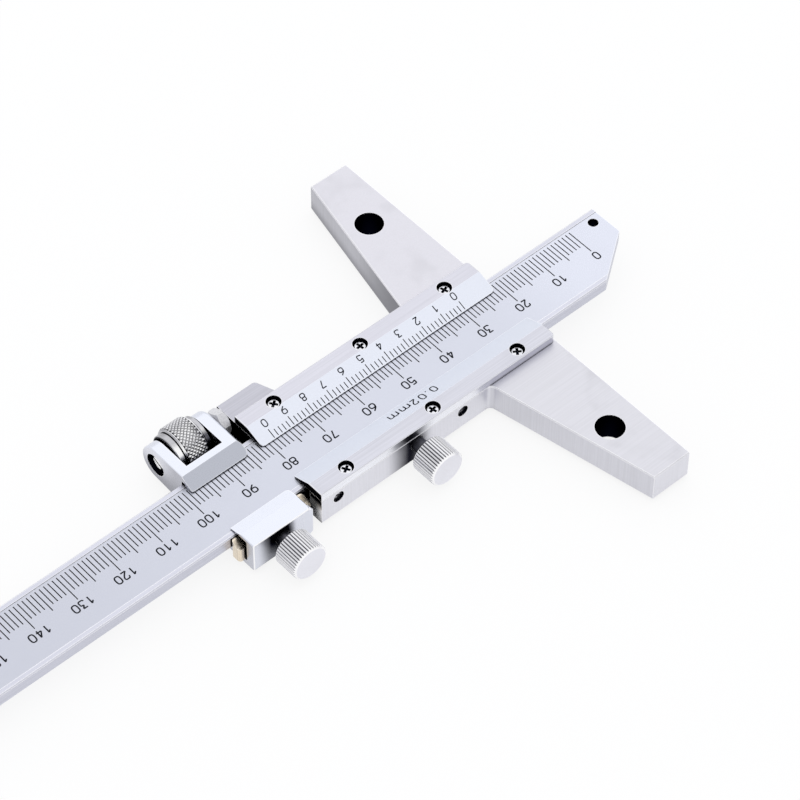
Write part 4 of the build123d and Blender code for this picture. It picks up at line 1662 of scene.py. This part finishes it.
    def dress(self) -> None:
        """Dresses the carriage, the leaf and the lock nut, with painted light and shade on the
        carriage.
        """
        front, back = (self.rod_rear + depth for depth in self.bore_depth)
        rear = Limit(Measure.PLACE_X, front, back)
        clamp = (self.clamp_side, OUTWARD)
        patches = (
            # Painted shade: bevel and walls are shaded copies of the polished top, the rear wall
            # darker inwards and at its foot, the clamp face black behind the clamp screw.
            patch(POLISHED_BEVEL_SHADE, *self.bevel_turns),
            patch(POLISHED_WALL_SHADE, self.walls),
            patch(CLAMP_FACE, *clamp),
            patch(WALL_SHADE_BLACK, *clamp, self.low_fade, *self.clamp_shade),
            patch(REAR_WALL, *self.rear_wall),
            patch(REAR_WALL_INNER_SHADE, *self.rear_wall, self.inner_fade),
            patch(REAR_WALL_FOOT_SHADE, *self.rear_wall, self.foot_fade),
            # Painted highlight on the edges of the clamp side.
            *(patch(EDGE_HIGHLIGHT, self.clamp_side, self.turned_out, lip) for lip in self.lips),
            bores(Measure.FROM_AXIS_X, self.bore, self.rod_line, rear),
        )
        finishes = {
            "carriage": MetalFinish("carriage_metal", POLISHED, patches),
            "carriage_leaf": MetalFinish(
                "bronze_leaf",
                LEAF_BRONZE,
                edge_tone=(1.0, 0.93, 0.82),
                crevice=Shade(0.4, 0.3, 0.6),
                shade=Shade(1.5, 0.1, 0.4),
            ),
            "rod_lock_nut": MetalFinish(
                "lock_nut_metal",
                LOCK_NUT,
                grain_depth=0.004,
                edge_radius=0.12,
                crevice=Shade(0.4, 0.2, 0.5),
                shade=Shade(2.0, 0.05, 0.3),
                metallic=0.5,
            ),
        }
        for name, finish in finishes.items():
            Dresser.node(name, finish)


@dataclass
class ThumbScrews:
    """The two knurled clamp screws."""

    names: tuple[str, ...] = ("slider_lock_screw", "carriage_clamp_screw")
    axes: tuple[Point, ...] = (LOCK_AXIS, CLAMP_AXIS)
    radius: float = 3.975
    tooth_depth: float = 0.22
    tooth_face: float = 0.04
    around: tuple[Limit, Limit] = (
        Limit(Measure.FACING_Y, -0.3, -0.1),
        Limit(Measure.FACING_Y, 0.3, 0.1),
    )
    rim: Limit = Limit(Measure.FACING_Y, -0.3, -0.6)
    end_face: Limit = Limit(Measure.FACING_Y, -0.85, -0.97)

    def dress(self) -> None:
        """Gives both screws a turned end face and bright teeth, with painted shade between the
        teeth and a painted highlight on the end rim.
        """
        low, high = self.radius - self.tooth_depth, self.radius - self.tooth_face
        patches = (
            patch(THUMB_GAP_SHADE, Limit(Measure.FROM_AXIS_Y, high, low, self.axes), *self.around),
            patch(EDGE_HIGHLIGHT, self.rim),
            patch(THUMB_FACE, self.end_face),
        )
        for name in self.names:
            finish = MetalFinish(
                f"{name}_metal",
                THUMB_TEETH,
                patches,
                edge_radius=0.06,
                crevice=Shade(0.4, 0.1, 0.45),
                shade=Shade(3.0, 0.24, 0.46),
            )
            Dresser.node(name, finish)


@dataclass
class Studio:
    """Floor, soft light and the camera at the photograph's angle."""

    eye: Point = (-316.475, -322.475, 522.102)
    right: Point = (0.749068, -0.662487, 0.002841)
    up: Point = (0.510363, 0.579786, 0.635120)
    back: Point = (-0.422405, -0.474298, 0.772408)
    focal_pixels: float = 3489.37
    clip: tuple[float, float] = (0.01, 50.0)
    floor_height: float = -4.02
    floor_size: float = 8.0
    floor_tone: Colour = (0.955, 0.955, 0.96)
    floor_white: float = 0.85
    floor_roughness: float = 0.9
    world_tone: Colour = (0.98, 0.985, 1.0)
    world_level: float = 1.0
    softbox_way: Point = (0.42, 0.55, 0.72)
    softbox_distance: float = 1.0
    softbox_size: float = 1.0
    softbox_watts: float = 0.8

    def camera(self) -> None:
        """Sets the camera where the photograph was taken from."""
        data = bpy.data.cameras.new("photo_camera")
        data.lens = self.focal_pixels / PICTURE_WIDTH * SENSOR_WIDTH
        data.sensor_width = SENSOR_WIDTH
        data.clip_start, data.clip_end = self.clip
        camera = bpy.data.objects.new("photo_camera", data)
        turn = Matrix((self.right, self.up, self.back)).transposed().to_4x4()
        camera.matrix_world = Matrix.Translation(Vector(self.eye) * MM) @ turn
        bpy.context.scene.collection.objects.link(camera)
        bpy.context.scene.camera = camera

    @staticmethod
    def seen_directly(nodes: bpy.types.Nodes, links: bpy.types.NodeLinks) -> Socket:
        """Tells what the camera sees, also in a reflection, from soft light.

        Args:
            nodes: Nodes of a shader.
            links: Its links.

        Returns:
            One where the ray comes from the camera or a sharp reflection, else zero.
        """
        path = nodes.new("ShaderNodeLightPath")
        seen = path.outputs["Is Camera Ray"]
        for name in ("Is Glossy Ray", "Is Transmission Ray"):
            larger = nodes.new("ShaderNodeMath")
            larger.operation = "MAXIMUM"
            links.new(seen, larger.inputs[0])
            links.new(path.outputs[name], larger.inputs[1])
            seen = larger.outputs[0]
        return seen

    def world(self) -> None:
        """Makes a plain white surrounding, at full strength to the camera and in reflections."""
        world = bpy.data.worlds.new("white_studio")
        bpy.context.scene.world = world
        world.use_nodes = True
        nodes, links = world.node_tree.nodes, world.node_tree.links
        seen = nodes["Background"]
        seen.inputs["Color"].default_value = (1, 1, 1, 1)
        seen.inputs["Strength"].default_value = 1.0
        soft = nodes.new("ShaderNodeBackground")
        soft.inputs["Color"].default_value = (*self.world_tone, 1)
        soft.inputs["Strength"].default_value = self.world_level
        mix = nodes.new("ShaderNodeMixShader")
        links.new(self.seen_directly(nodes, links), mix.inputs[0])
        links.new(soft.outputs[0], mix.inputs[1])
        links.new(seen.outputs[0], mix.inputs[2])
        links.new(mix.outputs[0], nodes["World Output"].inputs["Surface"])

    def floor(self) -> None:
        """Lays a plain pale floor under the gauge."""
        Workshop.clear()
        bpy.ops.mesh.primitive_plane_add(
            size=self.floor_size, location=(0, 0, self.floor_height * MM)
        )
        floor = bpy.context.object
        floor.name = "floor"
        graph = ShaderGraph("floor_paint")
        graph.shader.inputs["Base Color"].default_value = (*self.floor_tone, 1)
        graph.shader.inputs["Roughness"].default_value = self.floor_roughness
        graph.shader.inputs["Specular IOR Level"].default_value = 0.0
        seen = self.seen_directly(graph.nodes, graph.links)
        white = graph.node("ShaderNodeEmission")
        mixed = graph.node("ShaderNodeMixShader")
        graph.link(graph.maths("MULTIPLY", seen, self.floor_white), mixed.inputs[0])
        graph.link(graph.shader.outputs[0], mixed.inputs[1])
        graph.link(white.outputs[0], mixed.inputs[2])
        graph.link(mixed.outputs[0], graph.nodes["Material Output"].inputs["Surface"])
        floor.data.materials.append(graph.material)

    def softbox(self) -> None:
        """Hangs one large soft lamp behind and above the gauge."""
        data = bpy.data.lights.new("softbox", "AREA")
        data.shape = "SQUARE"
        data.size = self.softbox_size
        data.energy = self.softbox_watts
        lamp = bpy.data.objects.new("softbox", data)
        way = Vector(self.softbox_way).normalized()
        lamp.matrix_world = Matrix.Translation(way * self.softbox_distance) @ (
            way.to_track_quat("Z", "Y").to_matrix().to_4x4()
        )
        bpy.context.scene.collection.objects.link(lamp)

    def build(self) -> None:
        """Builds the studio."""
        self.camera()
        self.world()
        self.floor()
        self.softbox()
        bpy.context.scene.view_settings.view_transform = "Standard"


def main() -> None:
    """Builds the studio and every sub-assembly."""
    logging.basicConfig(level=logging.INFO, format="%(name)s: %(message)s")
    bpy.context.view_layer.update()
    Studio().build()
    beam = Beam()
    beam.dress()
    beam.engrave()
    plates = Plates()
    plates.dress()
    plates.engrave()
    plates.screws()
    slider = Slider()
    slider.dress()
    slider.screws()
    adjustment = FineAdjustment()
    adjustment.dress()
    adjustment.nut()
    adjustment.rod()
    ThumbScrews().dress()


if __name__ == "__main__":
    main()
